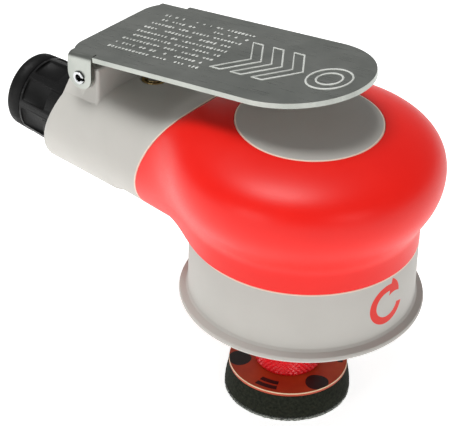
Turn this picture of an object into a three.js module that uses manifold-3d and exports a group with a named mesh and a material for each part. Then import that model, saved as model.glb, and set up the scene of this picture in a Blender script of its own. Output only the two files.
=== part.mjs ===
// Palm-size air sander with a random orbit. Millimetres, +Z up.
// The motor turns about the Z axis, the handle points along -X and z = 0 is the abrasive's face.
import * as THREE from 'three';
import { mergeVertices } from 'three/addons/utils/BufferGeometryUtils.js';
import Module from 'manifold-3d';

const wasm = await Module();
wasm.setup();

// Fits and round sides
const gap = 0.3; // between pieces that touch
const wideSides = 32; // the head and its shells
const midSides = 20; // motor pieces
const smallSides = 10; // pins, bores and valves
const far = 200; // longer than any piece, for cuts that run right out

// Pad
const padR = 16;
const padTopR = 15.1;
const padTopZ = 8.25;
const plateT = 0.9;
const abrasiveT = 0.8;
const padSpigotR = 2.7;
const padSpigotZ = 5;
const hubR = 8.6;
const hubTopZ = 20.2;
const hubRibs = 24;
const orbitDiameter = 4.76;
const orbitAngle = THREE.MathUtils.degToRad(220);

// Head shell
const boreR = 23.7;
const headR = 26.4;
const headBottomZ = 35;
const ceilingZ = 73.5;
const pocketCeilingZ = 77.6;
const gripWall = 1.6;
const gripLineZ = 48.1;
const bandTopZ = 53;
const bulgeR = 33.4;
const bulgeZ = 67.3;
const domeR = 18;
const domeEdgeZ = 78.5;
const crownZ = 80;
const waistPull = 3.5; // how far each curve holds its end's direction
const bulgePullDown = 7.3;
const bulgePullUp = 6.5;
const domePull = 10.5;

// Shroud
const shroudWall = 1.55;
const lipR = 30.5;
const lipZ = 29.6;
const lipT = 1.3;
const lipRootZ = 31.85;
const shelfZ = 33;
const shelfT = 1.6;
const shelfR = 22.7;
const beadZ = 44;
const beadH = 1;
const beadDepth = 0.6;

// Handle
const handleZ = 58.5;
const handleRootR = 21.8; // measured at the motor's axis
const handleTailR = 18;
const handleTailX = -80;
const handleTopZ = 70.6;
const rearX = -70.5; // rear face at the height of the handle's axis
const rearSlant = THREE.MathUtils.degToRad(25);
const seamR = 55; // the grip's edge on the handle is an arc seen from the side
const seamX = 14.5;
const seamZ = 39;
const bossFrontX = -54;
const bossHalfY = 16.2;
const bossTopZ = 78;

// Lever
const pivotX = -58.6;
const pivotZ = 74.9;
const leverTopZ = 91.2; // top of the plate over the motor's axis
const leverTilt = THREE.MathUtils.degToRad(9.5);
const leverT = 1.3;
const leverHalfY = 18;
const leverTipX = 15;
const leverTipStartX = -5;
const leverBackX = -65;
const leverCornerR = 6.9;
const earWidth = 7.9;
const earBottomZ = 71.8;
const earCornerR = 3;
const pinR = 1.7;
const pinBoreR = 0.9;
const pinSlit = 0.7;
const pinOverhang = 0.5;

// Inlet and throttle valve
const inletZ = 50.2;
const bushingRootR = 11.4;
const bushingRimR = 10.1;
const bushingEndX = -93.6;
const bushingShoulderX = -69.5;
const bushingTipX = -62.5;
const shankR = 9;
const inletBossWall = 1.1;
const portR = 6.6;
const portDepth = 15;
const throatR = 4.5;
const screenR = 5.4;
const screenT = 1;
const rimBand = 4.6;
const pocketCount = 8;
const pocketDepth = 0.9;
const chamberR = 6.5;
const springPocketR = 6.2;
const springPocketDepth = 5;
const seatX = -60.9; // the valve seat's sealing face
const seatT = 2;
const seatBoreR = 3;
const screenHoleR = 0.9;
const screenHoleRing = 3;
const screenHoles = 6;
const threadMouthR = 0.7; // chamfer at the port's mouth
const pocketWidth = 5.4;
const pocketLength = 7;
const pocketInset = 1; // from the rim band to the pockets
const inletRingR = 0.65;
const inletGrooveWidth = 1.9;
const inletGrooveDepth = 1.8;
const inletGrooveX = 3.4; // from the bushing's tip to the groove's far side
const tipDiscR = 4.6;
const tipDiscT = 1.6;
const tipRodR = 1.1;
const tipStubR = 2;
const tipStubLength = 1.5;
const tipRodOverhang = 1.6; // past the stem's axis
const stemX = -50;
const stemR = 2.2;
const stemTipR = 1;
const stemTipLength = 4;
const stemGrooveRise = 7.2; // from the stem's tip to its ring groove
const stemGrooveWidth = 1.6;
const stemGrooveDepth = 0.8;
const stemRingR = 0.45;
const stemTipClearance = 0.5; // above the tip valve's rod
const stemBushR = 3.2;
const stemBushH = 6;
const ductR = 4.6;
const springWireR = 0.4;
const springTurns = 3;

// Speed regulator, from below the handle
const regulatorX = -35;
const regulatorR = 4.2;
const regulatorTopZ = 56;
const regulatorRecess = 1; // its face lies this far inside the handle's underside
const regulatorHoleR = 3.3;
const regulatorNeckR = 3;
const regulatorSlotWidth = 1.2;
const regulatorSlotDepth = 1.4;
const regulatorClipNeck = [2, 3.6]; // heights above its face of the necks for the clip and the ring
const regulatorRingNeck = [4.6, 6];
const regulatorClipT = 0.8;
const regulatorRingR = 0.4;

// Exhaust
const exhaustInnerY = 6.2;
const exhaustOuterY = 12;
const exhaustLowZ = 58.6;
const exhaustHighZ = 66;
const mufflerHalfY = 12.3;
const mufflerLowZ = 62.6;
const mufflerHighZ = 69;
const mufflerFrontX = -58;
const coverT = 1.6;
const coverRecess = 0.4;
const coverSlots = 5;
const coverSlotWidth = 2.2;
const coverSlotPitch = 4.4;
const coverFrame = 1.6;
const mufflerGroove = 2;

// Motor
const rearPlateT = 3.3;
const rearPlateBossR = 12;
const rearBearingRise = 1.4; // above the rear plate's lower face
const cylinderTopZ = 69.6;
const cylinderBottomZ = 45.6;
const cylinderBoreR = 18.8;
const cylinderShift = 1.7;
const rotorR = 16.8;
const vaneCount = 5;
const vaneT = 1.4;
const vaneInnerR = 10.1;
const frontPlateT = 3;
const frontPlateBossR = 16.2;
const lockRingInnerR = 17;
const lockNotchDepth = 2.2;
const lockNotchWidth = 3;
const lockNotchHeight = 2;
const lockRingBottomZ = 37.6;
const shaftR = 5;
const shaftTopR = 3.2;
const shaftTopZ = 76.2;
const shaftLowR = 6;
const keyT = 2;
const keyDepth = 1.4;
const keyLength = 12;
const dowelR = 1.1;
const dowelY = -19.9;
const dowelBottomZ = 65;
const dowelTopZ = 75.4;
const motorRingR = 0.8;

// Bearings: outer radius, bore radius, ring wall, width, ball radius and ball count
const rearBearing = { outerR: 9.5, boreR: 3.5, wall: 1.6, width: 5, ballR: 1.2, balls: 7 };
const frontBearing = { outerR: 13, boreR: 6.3, wall: 1.8, width: 5.4, ballR: 1.3, balls: 8 };
const spindleBearing = { outerR: 10.8, boreR: 4.3, wall: 1.7, width: 7.4, ballR: 1.3, balls: 7 };
const cageT = 0.8;

// Balancer and spindle
const balancerTopZ = 35.8;
const balancerBottomZ = 23.4;
const balancerWall = 2.2;
const collarR = 7.6;
const weightR = 21.5;
const weightZ = 28;
const weightSpan = THREE.MathUtils.degToRad(150);
const spindleR = 4;
const spindleHexR = 7.6;
const spindleLowZ = 10;
const clipT = 1.1;
const clipDepth = 0.8;
const clipWidth = 2.3;
const clipMouth = 4;
const clipRise = 1.9; // from the cup's lower edge to the clip's top
const shieldT = 0.8;
const shieldR = 10.4;

// Sizes that follow
const orbitX = (orbitDiameter / 2) * Math.cos(orbitAngle);
const orbitY = (orbitDiameter / 2) * Math.sin(orbitAngle);
const gripLineR = headR + gap + gripWall;
const shroudInnerR = headR + gap;
const shroudOuterR = shroudInnerR + shroudWall;
const motorR = boreR - gap;
const rearPlateTopZ = ceilingZ - gap;
const rearPlateBottomZ = rearPlateTopZ - rearPlateT;
const frontPlateTopZ = cylinderBottomZ - gap;
const frontPlateBottomZ = frontPlateTopZ - frontPlateT;
const frontBearingTopZ = frontPlateBottomZ;
const frontBearingBottomZ = frontBearingTopZ - frontBearing.width;
const rearBearingBottomZ = rearPlateBottomZ + rearBearingRise;
const clipTopZ = balancerBottomZ + clipRise;
const spindleBearingBottomZ = clipTopZ + gap;
const spindleBearingTopZ = spindleBearingBottomZ + spindleBearing.width;
const shieldTopZ = clipTopZ - clipT - gap;
const hexTopZ = shieldTopZ - shieldT - gap;
const hexBottomZ = hubTopZ + gap;
const tipFrontX = seatX - gap;
const tipBackX = tipFrontX - tipDiscT;
const tipStubX = tipBackX - tipStubLength;
const tipRodX = stemX + tipRodOverhang;
const handleRAt = (x) => handleRootR + ((handleTailR - handleRootR) * x) / handleTailX;
const regulatorBottomZ = handleZ - handleRAt(regulatorX) + regulatorRecess;

// ---- Solids ----

// A closed solid from a geometry: shared corners, no flat triangles, faces outwards
function toSolid(geometry) {
  geometry.deleteAttribute('normal');
  geometry.deleteAttribute('uv');
  const merged = mergeVertices(geometry, 1e-5);
  const corners = merged.getAttribute('position').array;
  const index = merged.getIndex().array;
  const triangles = [];
  let volume = 0;
  const a = new THREE.Vector3();
  const b = new THREE.Vector3();
  const c = new THREE.Vector3();
  for (let i = 0; i < index.length; i += 3) {
    const [p, q, r] = [index[i], index[i + 1], index[i + 2]];
    if (p === q || q === r || r === p) continue;
    triangles.push(p, q, r);
    a.fromArray(corners, 3 * p);
    b.fromArray(corners, 3 * q);
    c.fromArray(corners, 3 * r);
    volume += a.dot(b.cross(c));
  }
  if (volume < 0) {
    triangles.reverse();
  }
  return new wasm.Manifold(new wasm.Mesh({
    numProp: 3,
    vertProperties: new Float32Array(corners),
    triVerts: new Uint32Array(triangles),
  }));
}

function join(...solids) {
  return solids.reduce((whole, piece) => whole.add(piece));
}

function cut(whole, ...tools) {
  return tools.reduce((rest, tool) => rest.subtract(tool), whole);
}

// A solid of revolution about Z from [radius, height] points
function revolve(profile, sides = midSides) {
  const points = profile.map(([r, z]) => new THREE.Vector2(r, z));
  return toSolid(new THREE.LatheGeometry(points, sides).rotateX(Math.PI / 2));
}

function disc(r, z0, z1, sides = midSides) {
  return revolve([[0, z0], [r, z0], [r, z1], [0, z1]], sides);
}

function ring(outerR, innerR, z0, z1, sides = midSides) {
  return revolve([[innerR, z0], [outerR, z0], [outerR, z1], [innerR, z1], [innerR, z0]], sides);
}

function box(x0, x1, y0, y1, z0, z1) {
  const block = new THREE.BoxGeometry(x1 - x0, y1 - y0, z1 - z0);
  return toSolid(block.translate((x0 + x1) / 2, (y0 + y1) / 2, (z0 + z1) / 2));
}

// A round bar along X, which may taper from r0 at x0 to r1 at x1
function barX(r0, r1, x0, x1, y, z, sides = smallSides) {
  const bar = new THREE.CylinderGeometry(r1, r0, x1 - x0, sides).rotateZ(-Math.PI / 2);
  return toSolid(bar.translate((x0 + x1) / 2, y, z));
}

function barY(r, y0, y1, x, z, sides = smallSides) {
  const bar = new THREE.CylinderGeometry(r, r, y1 - y0, sides);
  return toSolid(bar.translate(x, (y0 + y1) / 2, z));
}

function barZ(r, z0, z1, x, y, sides = smallSides) {
  return disc(r, z0, z1, sides).translate([x, y, 0]);
}

function torus(majorR, minorR, sides = midSides) {
  return toSolid(new THREE.TorusGeometry(majorR, minorR, 5, sides));
}

// An outline in the XY plane, raised from z0 to z1
function raise(shape, z0, z1, curveSegments = 10) {
  const options = { depth: z1 - z0, bevelEnabled: false, curveSegments };
  return toSolid(new THREE.ExtrudeGeometry(shape, options).translate(0, 0, z0));
}

// The same outline moved inwards by a distance, point by point
function inset(profile, distance) {
  return profile.map(([r, z], i) => {
    const [r0, z0] = profile[Math.max(i - 1, 0)];
    const [r1, z1] = profile[Math.min(i + 1, profile.length - 1)];
    const length = Math.hypot(r1 - r0, z1 - z0);
    return [r - (distance * (z1 - z0)) / length, z + (distance * (r1 - r0)) / length];
  });
}

// ---- Shell shapes shared by the housing, the grip and the shroud ----

// The head's outside from the grip's lower line to the dome's edge
function headCurve() {
  const path = new THREE.CurvePath();
  const band = new THREE.Vector2(gripLineR, bandTopZ);
  const bulge = new THREE.Vector2(bulgeR, bulgeZ);
  const edge = new THREE.Vector2(domeR, domeEdgeZ);
  const bandHold = new THREE.Vector2(gripLineR, bandTopZ + waistPull);
  const bulgeHoldLow = new THREE.Vector2(bulgeR, bulgeZ - bulgePullDown);
  const bulgeHoldHigh = new THREE.Vector2(bulgeR, bulgeZ + bulgePullUp);
  const crownSlope = (2 * (crownZ - domeEdgeZ)) / domeR;
  const edgeHold = new THREE.Vector2(domeR + domePull, domeEdgeZ - crownSlope * domePull);
  path.add(new THREE.CubicBezierCurve(band, bandHold, bulgeHoldLow, bulge));
  path.add(new THREE.CubicBezierCurve(bulge, bulgeHoldHigh, edgeHold, edge));
  return [[gripLineR, gripLineZ], ...path.getPoints(4).map((p) => [p.x, p.y])];
}

function outerHead() {
  const crown = [[domeR / 2, crownZ - (crownZ - domeEdgeZ) / 4], [0, crownZ]];
  return revolve([[0, gripLineZ], ...headCurve(), ...crown], wideSides);
}

function coreHead(distance) {
  const curve = inset(headCurve(), distance);
  const [, topZ] = curve[curve.length - 1];
  return revolve([[0, gripLineZ], ...curve, [0, topZ]], wideSides);
}

function handleBar(distance, x0, x1) {
  const bar = barX(handleRAt(x0) - distance, handleRAt(x1) - distance, x0, x1, 0, handleZ, wideSides);
  const top = box(x0 - 1, x1 + 1, -far, far, handleTopZ - distance, far);
  return cut(bar, top);
}

// Everything behind the slanted rear face, which moves forwards by a distance
function behindRear(distance) {
  const block = new THREE.BoxGeometry(far, far, far).translate(-far / 2, 0, 0);
  block.rotateY(rearSlant).translate(rearX + distance / Math.cos(rearSlant), 0, handleZ);
  return toSolid(block);
}

function seamCylinder(distance) {
  return barY(seamR + distance, -far, far, seamX, seamZ, 2 * wideSides);
}

function outerBody() {
  return join(outerHead(), handleBar(0, handleTailX - 5, 0));
}

// ---- Shells ----

function makeHousing() {
  const wall = gripWall + gap;
  const greyOutside = cut(outerBody(), seamCylinder(gap));
  const core = join(coreHead(wall), handleBar(wall, handleTailX - 5, 0));
  const skirt = disc(headR, headBottomZ, gripLineZ + 1, wideSides);
  const dome = outerHead().intersect(disc(domeR, ceilingZ, far, wideSides));
  const boss = box(handleTailX, bossFrontX, -bossHalfY, bossHalfY, handleZ, bossTopZ);
  const inletBoss = barX(bushingRootR + gap + inletBossWall, bushingRootR + gap + inletBossWall,
    handleTailX - 5, bushingTipX + 8, 0, inletZ, midSides);
  const solid = cut(join(greyOutside, core, skirt, dome, boss, inletBoss), behindRear(0));
  return cut(solid, motorHollow(), inletHollow(), stemHollow(), regulatorHollow(), exhaustHollow());
}

function motorHollow() {
  const bore = disc(boreR, -far, ceilingZ, wideSides);
  const pocket = disc(rearPlateBossR + gap, ceilingZ - 1, pocketCeilingZ, midSides);
  const dowelHole = barZ(dowelR + gap, ceilingZ - 1, dowelTopZ + gap, 0, dowelY);
  const grooveR = headR - beadDepth;
  const groove = ring(headR + 1, grooveR, beadZ - beadH / 2 - gap, beadZ + beadH / 2 + gap, wideSides);
  return join(bore, pocket, dowelHole, groove);
}

function inletHollow() {
  const mouthR = bushingRootR + gap;
  const mouth = barX(mouthR, mouthR, -far, bushingShoulderX + gap, 0, inletZ, midSides);
  const thread = barX(shankR + gap, shankR + gap, -far, bushingTipX + gap, 0, inletZ, midSides);
  const chamber = barX(chamberR, chamberR, -far, seatX + seatT + gap, 0, inletZ, midSides);
  const duct = barX(ductR, ductR, -far, -boreR + 4, 0, inletZ);
  return join(mouth, thread, chamber, duct);
}

function stemHollow() {
  const bush = barZ(stemBushR + gap, handleTopZ - stemBushH - gap, far, stemX, 0);
  const bore = barZ(stemR + 0.8, inletZ, handleTopZ, stemX, 0);
  return join(bush, bore);
}

function regulatorHollow() {
  const bore = barZ(regulatorR + gap, -far, regulatorTopZ + gap, regulatorX, 0);
  const [grooveLow, grooveHigh] = regulatorClipNeck;
  const z = regulatorBottomZ;
  const groove = barZ(regulatorR + 1, z + grooveLow, z + grooveHigh, regulatorX, 0);
  return join(bore, groove);
}

function exhaustHollow() {
  const duct = box(mufflerFrontX - 1, 0, exhaustInnerY, exhaustOuterY, exhaustLowZ, exhaustHighZ);
  const pocket = box(-far, mufflerFrontX, -mufflerHalfY, mufflerHalfY, mufflerLowZ, mufflerHighZ);
  const pinHole = barY(pinR + gap, -far, far, pivotX, pivotZ);
  return join(duct, duct.mirror([0, 1, 0]), pocket, pinHole);
}

function makeGrip() {
  const core = join(coreHead(gripWall), handleBar(gripWall, handleTailX, 0));
  const lowHead = disc(headR + gap, -far, gripLineZ, wideSides);
  const domeHole = disc(domeR + gap, bulgeZ, far, wideSides);
  const band = disc(headR + gap, gripLineZ - 1, bandTopZ, wideSides);
  const regulatorHole = barZ(regulatorR + gap, -far, handleZ, regulatorX, 0);
  return cut(outerBody().intersect(seamCylinder(0)), core, lowHead, domeHole, band, regulatorHole);
}

function makeShroud() {
  const topZ = gripLineZ - gap;
  const bead = shroudInnerR - beadDepth;
  const profile = [
    [shroudInnerR, topZ],
    [shroudInnerR, beadZ + beadH / 2], [bead, beadZ + beadH / 4],
    [bead, beadZ - beadH / 4], [shroudInnerR, beadZ - beadH / 2],
    [shroudInnerR, shelfZ + shelfT], [shelfR, shelfZ + shelfT], [shelfR, shelfZ],
    [shroudInnerR, shelfZ], [shroudInnerR + 0.3, lipRootZ], [lipR - lipT, lipZ],
    [lipR - 0.3, lipZ], [lipR, lipZ + 0.4], [lipR - 0.2, lipZ + 1.1],
    [shroudOuterR + 0.5, lipRootZ - 0.3], [shroudOuterR, lipRootZ + 0.3],
    [shroudOuterR, topZ], [shroudInnerR, topZ],
  ];
  return cut(revolve(profile, wideSides), handleBar(-gap, handleTailX, 0));
}

// ---- Inlet and valve ----

function makeBushing() {
  const rim = bushingEndX + rimBand;
  const rimTaper = bushingRimR + (bushingRootR - bushingRimR) * (rimBand / (bushingShoulderX - bushingEndX));
  const body = join(
    barX(bushingRimR, bushingRootR, bushingEndX, bushingShoulderX, 0, inletZ, midSides),
    barX(shankR, shankR, bushingShoulderX - 1, bushingTipX, 0, inletZ, midSides),
  );
  const tools = [
    barX(portR + 2 * threadMouthR, portR, bushingEndX - threadMouthR, bushingEndX + threadMouthR,
      0, inletZ, midSides),
    barX(portR, portR, bushingEndX - 1, bushingEndX + portDepth, 0, inletZ, midSides),
    barX(screenR + gap, screenR + gap, bushingEndX, bushingEndX + portDepth + screenT + 2 * gap, 0, inletZ),
    barX(throatR, throatR, bushingEndX, 0, 0, inletZ),
    barX(springPocketR, springPocketR, bushingTipX - springPocketDepth, bushingTipX + 1, 0, inletZ, midSides),
    alongX(ring(shankR + 1, shankR - inletGrooveDepth, 0, inletGrooveWidth),
      bushingTipX - inletGrooveX, inletZ),
  ];
  const pocketX = rim + pocketInset;
  const pocket = box(pocketX, pocketX + pocketLength, -pocketWidth / 2, pocketWidth / 2,
    rimTaper - pocketDepth, bushingRootR + 1);
  for (let i = 0; i < pocketCount; i += 1) {
    tools.push(pocket.rotate([(360 * i) / pocketCount, 0, 0]).translate([0, 0, inletZ]));
  }
  return cut(body, ...tools);
}

// Turns a solid about Z into one about X, from x towards +X
function alongX(solid, x, z) {
  return solid.rotate([0, 90, 0]).translate([x, 0, z]);
}

function makeInletRing() {
  const middle = bushingTipX - inletGrooveX + inletGrooveWidth / 2;
  return alongX(torus(shankR - 0.1 - inletRingR, inletRingR), middle, inletZ);
}

function makeScreen() {
  const x = bushingEndX + portDepth + gap;
  const hole = (y, z) => barX(screenHoleR, screenHoleR, x - 1, x + screenT + 1, y, inletZ + z, 8);
  const holes = [hole(0, 0)];
  for (let i = 0; i < screenHoles; i += 1) {
    const angle = (2 * Math.PI * i) / screenHoles;
    holes.push(hole(screenHoleRing * Math.sin(angle), screenHoleRing * Math.cos(angle)));
  }
  return cut(barX(screenR, screenR, x, x + screenT, 0, inletZ), ...holes);
}

function makeSeat() {
  return alongX(ring(chamberR - gap, seatBoreR, 0, seatT), seatX, inletZ);
}

function makeTipValve() {
  return join(
    barX(tipDiscR, tipDiscR, tipBackX, tipFrontX, 0, inletZ, midSides),
    barX(tipStubR * 0.7, tipStubR, tipStubX, tipBackX + 0.5, 0, inletZ),
    barX(tipRodR, tipRodR, tipFrontX - 0.5, tipRodX, 0, inletZ),
  );
}

class ConeHelix extends THREE.Curve {
  constructor(r0, r1, length, turns) {
    super();
    Object.assign(this, { r0, r1, length, turns });
  }

  getPoint(t, target = new THREE.Vector3()) {
    const r = this.r0 + (this.r1 - this.r0) * t;
    const angle = t * this.turns * 2 * Math.PI;
    return target.set(this.length * t, r * Math.cos(angle), r * Math.sin(angle));
  }
}

function makeSpring() {
  const frontX = tipBackX - gap - springWireR;
  const backX = bushingTipX - springPocketDepth + gap + springWireR;
  const path = new ConeHelix(tipStubR + 1, springPocketR - gap - springWireR, backX - frontX, springTurns);
  const section = new THREE.Shape().absarc(0, 0, springWireR, 0, 2 * Math.PI);
  const options = { steps: 10 * springTurns, extrudePath: path, curveSegments: 2, bevelEnabled: false };
  return toSolid(new THREE.ExtrudeGeometry(section, options).translate(frontX, 0, inletZ));
}

// The lever's top over a place along X
function leverTopAt(x) {
  return leverTopZ + x * Math.tan(leverTilt);
}

function makeStem() {
  const underZ = leverTopAt(stemX) - leverT / Math.cos(leverTilt) - stemR * Math.tan(leverTilt);
  const topZ = underZ - gap;
  const bottomZ = inletZ + tipRodR + stemTipClearance;
  const grooveZ = bottomZ + stemGrooveRise;
  const grooveR = stemR - stemGrooveDepth;
  const profile = [
    [0, bottomZ], [stemTipR, bottomZ], [stemTipR, bottomZ + stemTipLength],
    [stemR, bottomZ + stemTipLength + 1],
    [stemR, grooveZ], [grooveR, grooveZ],
    [grooveR, grooveZ + stemGrooveWidth], [stemR, grooveZ + stemGrooveWidth],
    [stemR, topZ - 1], [stemR - 1, topZ], [0, topZ],
  ];
  return revolve(profile, smallSides).translate([stemX, 0, 0]);
}

function makeStemRing() {
  const z = inletZ + tipRodR + stemTipClearance + stemGrooveRise + stemGrooveWidth / 2;
  return torus(stemR - 0.05, stemRingR, smallSides).translate([stemX, 0, z]);
}

function makeStemBush() {
  const bush = ring(stemBushR, stemR + gap, handleTopZ - stemBushH, handleTopZ - gap, smallSides);
  return bush.translate([stemX, 0, 0]);
}

// ---- Regulator and exhaust ----

function makeRegulator() {
  const z = regulatorBottomZ;
  const profile = [
    [0, z], [regulatorR - 0.4, z], [regulatorR, z + 0.4],
    ...[regulatorClipNeck, regulatorRingNeck].flatMap(([low, high]) => [
      [regulatorR, z + low], [regulatorNeckR, z + low], [regulatorNeckR, z + high], [regulatorR, z + high],
    ]),
    [regulatorR, regulatorTopZ], [0, regulatorTopZ],
  ];
  const slot = box(-regulatorSlotWidth / 2, regulatorSlotWidth / 2, -far, far, z - 1, z + regulatorSlotDepth);
  const port = barX(regulatorHoleR, regulatorHoleR, -far, far, 0, inletZ);
  return cut(revolve(profile, smallSides), slot, port).translate([regulatorX, 0, 0]);
}

function makeRegulatorClip() {
  const [low, high] = regulatorClipNeck;
  const z = regulatorBottomZ + (low + high - regulatorClipT) / 2;
  const clip = ring(regulatorR + 0.7, regulatorNeckR + gap, z, z + regulatorClipT, smallSides);
  const mouth = box(0, far, -regulatorNeckR / 2, regulatorNeckR / 2, -far, far);
  return cut(clip, mouth).translate([regulatorX, 0, 0]);
}

function makeRegulatorRing() {
  const [low, high] = regulatorRingNeck;
  const turn = torus(regulatorNeckR + regulatorRingR + gap, regulatorRingR, smallSides);
  return turn.translate([regulatorX, 0, regulatorBottomZ + (low + high) / 2]);
}

function mufflerBlock(clearance) {
  return box(-far, mufflerFrontX - clearance, clearance - mufflerHalfY, mufflerHalfY - clearance,
    mufflerLowZ + clearance, mufflerHighZ - clearance);
}

function makeMuffler() {
  const groove = box(-far, far, -mufflerGroove / 2, mufflerGroove / 2,
    mufflerLowZ, mufflerLowZ + mufflerGroove);
  return cut(mufflerBlock(gap), behindRear(coverRecess + coverT + gap), groove);
}

function makeCover() {
  const plate = cut(mufflerBlock(gap), behindRear(coverRecess));
  const sheet = plate.intersect(behindRear(coverRecess + coverT));
  const slots = [];
  for (let i = 0; i < coverSlots; i += 1) {
    const y = (i - (coverSlots - 1) / 2) * coverSlotPitch;
    slots.push(box(-far, far, y - coverSlotWidth / 2, y + coverSlotWidth / 2,
      mufflerLowZ + coverFrame, mufflerHighZ - coverFrame));
  }
  return cut(sheet, ...slots);
}

// ---- Lever ----

function leverOutline() {
  const shape = new THREE.Shape();
  const y = leverHalfY;
  shape.moveTo(leverBackX + leverCornerR, -y);
  shape.lineTo(leverTipStartX, -y);
  shape.absellipse(leverTipStartX, 0, leverTipX - leverTipStartX, y, -Math.PI / 2, Math.PI / 2);
  shape.lineTo(leverBackX + leverCornerR, y);
  shape.absarc(leverBackX + leverCornerR, y - leverCornerR, leverCornerR, Math.PI / 2, Math.PI);
  shape.absarc(leverBackX + leverCornerR, leverCornerR - y, leverCornerR, Math.PI, 1.5 * Math.PI);
  return shape;
}

function ear() {
  const halfWidth = earWidth / 2;
  const bottom = earBottomZ + halfWidth;
  const shape = new THREE.Shape();
  const back = pivotX - halfWidth;
  shape.moveTo(pivotX + halfWidth, leverTopAt(pivotX + halfWidth) - 0.3);
  shape.lineTo(back + earCornerR, leverTopAt(back + earCornerR) - 0.3);
  shape.quadraticCurveTo(back, leverTopAt(back) - 0.3, back, leverTopAt(back) - earCornerR);
  shape.lineTo(back, bottom);
  shape.absarc(pivotX, bottom, halfWidth, Math.PI, 2 * Math.PI);
  const sheet = raise(shape, 0, leverT).rotate([90, 0, 0]);
  const hole = barY(pinR + gap, -far, far, pivotX, pivotZ);
  return cut(sheet.translate([0, leverT - leverHalfY, 0]), hole);
}

function makeLever() {
  const plate = raise(leverOutline(), -leverT, 0, 14).rotate([0, -THREE.MathUtils.radToDeg(leverTilt), 0]);
  const side = ear();
  return join(plate.translate([0, 0, leverTopZ]), side, side.mirror([0, 1, 0]));
}

function makePin() {
  const reach = leverHalfY + pinOverhang;
  const tube = barY(pinR, -reach, reach, pivotX, pivotZ);
  const bore = barY(pinBoreR, -far, far, pivotX, pivotZ, 12);
  return cut(tube, bore, box(pivotX, pivotX + far, -far, far, pivotZ - pinSlit / 2, pivotZ + pinSlit / 2));
}

// ---- Motor ----

function makeRearPlate() {
  const body = join(
    disc(motorR, rearPlateBottomZ, rearPlateTopZ, wideSides),
    disc(rearPlateBossR, rearPlateBottomZ, pocketCeilingZ - gap),
  );
  const middle = (rearPlateBottomZ + rearPlateTopZ) / 2;
  return cut(
    body,
    disc(rearBearing.outerR + gap, rearBearingBottomZ - gap, far),
    disc(shaftR + 1, -far, far, smallSides),
    ring(motorR + 1, motorR - 2 * motorRingR - gap, middle - motorRingR - gap,
      middle + motorRingR + gap, wideSides),
    barZ(dowelR + gap, -far, far, 0, dowelY),
  );
}

function makeMotorRing() {
  const turn = torus(motorR - motorRingR, motorRingR, midSides);
  return turn.translate([0, 0, (rearPlateBottomZ + rearPlateTopZ) / 2]);
}

function makeCylinder() {
  const body = disc(motorR, cylinderBottomZ, cylinderTopZ - gap / 2, wideSides);
  const bore = disc(cylinderBoreR, -far, far, wideSides).translate([0, cylinderShift, 0]);
  const tools = [
    bore,
    barX(seatBoreR, seatBoreR, -far, 0, 0, inletZ),
    barZ(dowelR + gap, dowelBottomZ - gap, far, 0, dowelY),
  ];
  for (let i = 0; i < 3; i += 1) {
    const z = exhaustLowZ + 0.6 + 2.4 * i;
    tools.push(box(-far, -12, exhaustInnerY, exhaustOuterY - 1, z, z + 1.4));
  }
  return cut(body, ...tools);
}

function makeRotor() {
  const z0 = cylinderBottomZ + gap;
  const z1 = cylinderTopZ - 2 * gap;
  const tools = [
    disc(shaftR + gap, -far, far, smallSides),
    box(-keyT / 2 - gap, keyT / 2 + gap, 0, shaftR + keyDepth + gap, -far, far),
  ];
  const slot = box(vaneInnerR - gap, far, -vaneT / 2 - gap, vaneT / 2 + gap, -far, far);
  for (let i = 0; i < vaneCount; i += 1) {
    tools.push(slot.rotate([0, 0, (360 * i) / vaneCount]));
  }
  return cut(disc(rotorR, z0, z1), ...tools);
}

function makeVane() {
  const z0 = cylinderBottomZ + 2 * gap;
  const z1 = cylinderTopZ - 3 * gap;
  return box(vaneInnerR, rotorR - 0.2, -vaneT / 2, vaneT / 2, z0, z1);
}

function keyBlock(clearance) {
  const middle = (cylinderBottomZ + cylinderTopZ) / 2;
  const half = keyLength / 2 + clearance;
  return box(-keyT / 2 - clearance, keyT / 2 + clearance, shaftR - keyDepth - clearance,
    shaftR + keyDepth + clearance, middle - half, middle + half);
}

function makeFrontPlate() {
  const body = join(
    disc(motorR, frontPlateBottomZ, frontPlateTopZ, wideSides),
    disc(frontPlateBossR, frontBearingBottomZ, frontPlateTopZ),
  );
  const seat = disc(frontBearing.outerR + gap, -far, frontBearingTopZ + gap);
  return cut(body, seat, disc(frontBearing.boreR + 1.2, -far, far));
}

function makeLockRing() {
  const topZ = frontPlateBottomZ - gap;
  const outer = ring(motorR, lockRingInnerR, lockRingBottomZ, topZ, wideSides);
  const notches = [];
  for (let i = 0; i < 4; i += 1) {
    const notch = box(lockRingInnerR - 1, lockRingInnerR + lockNotchDepth, -lockNotchWidth / 2,
      lockNotchWidth / 2, lockRingBottomZ - 1, lockRingBottomZ + lockNotchHeight);
    notches.push(notch.rotate([0, 0, 90 * i]));
  }
  return cut(outer, ...notches);
}

function outerRace({ outerR, wall, width }) {
  return ring(outerR, outerR - wall, 0, width);
}

function innerRace({ boreR: innerR, wall, width }) {
  return ring(innerR + wall, innerR, 0, width);
}

function ballCage({ outerR, boreR: innerR, width, ballR, balls }) {
  const pitchR = (outerR + innerR) / 2;
  const middle = width / 2;
  const pieces = [ring(pitchR + cageT / 2, pitchR - cageT / 2, middle - cageT, middle + cageT, 2 * balls)];
  for (let i = 0; i < balls; i += 1) {
    const angle = (2 * Math.PI * i) / balls;
    const ball = new THREE.OctahedronGeometry(ballR, 1);
    ball.translate(pitchR * Math.cos(angle), pitchR * Math.sin(angle), width / 2);
    pieces.push(toSolid(ball));
  }
  return join(...pieces);
}

// ---- Balancer and spindle ----

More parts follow.
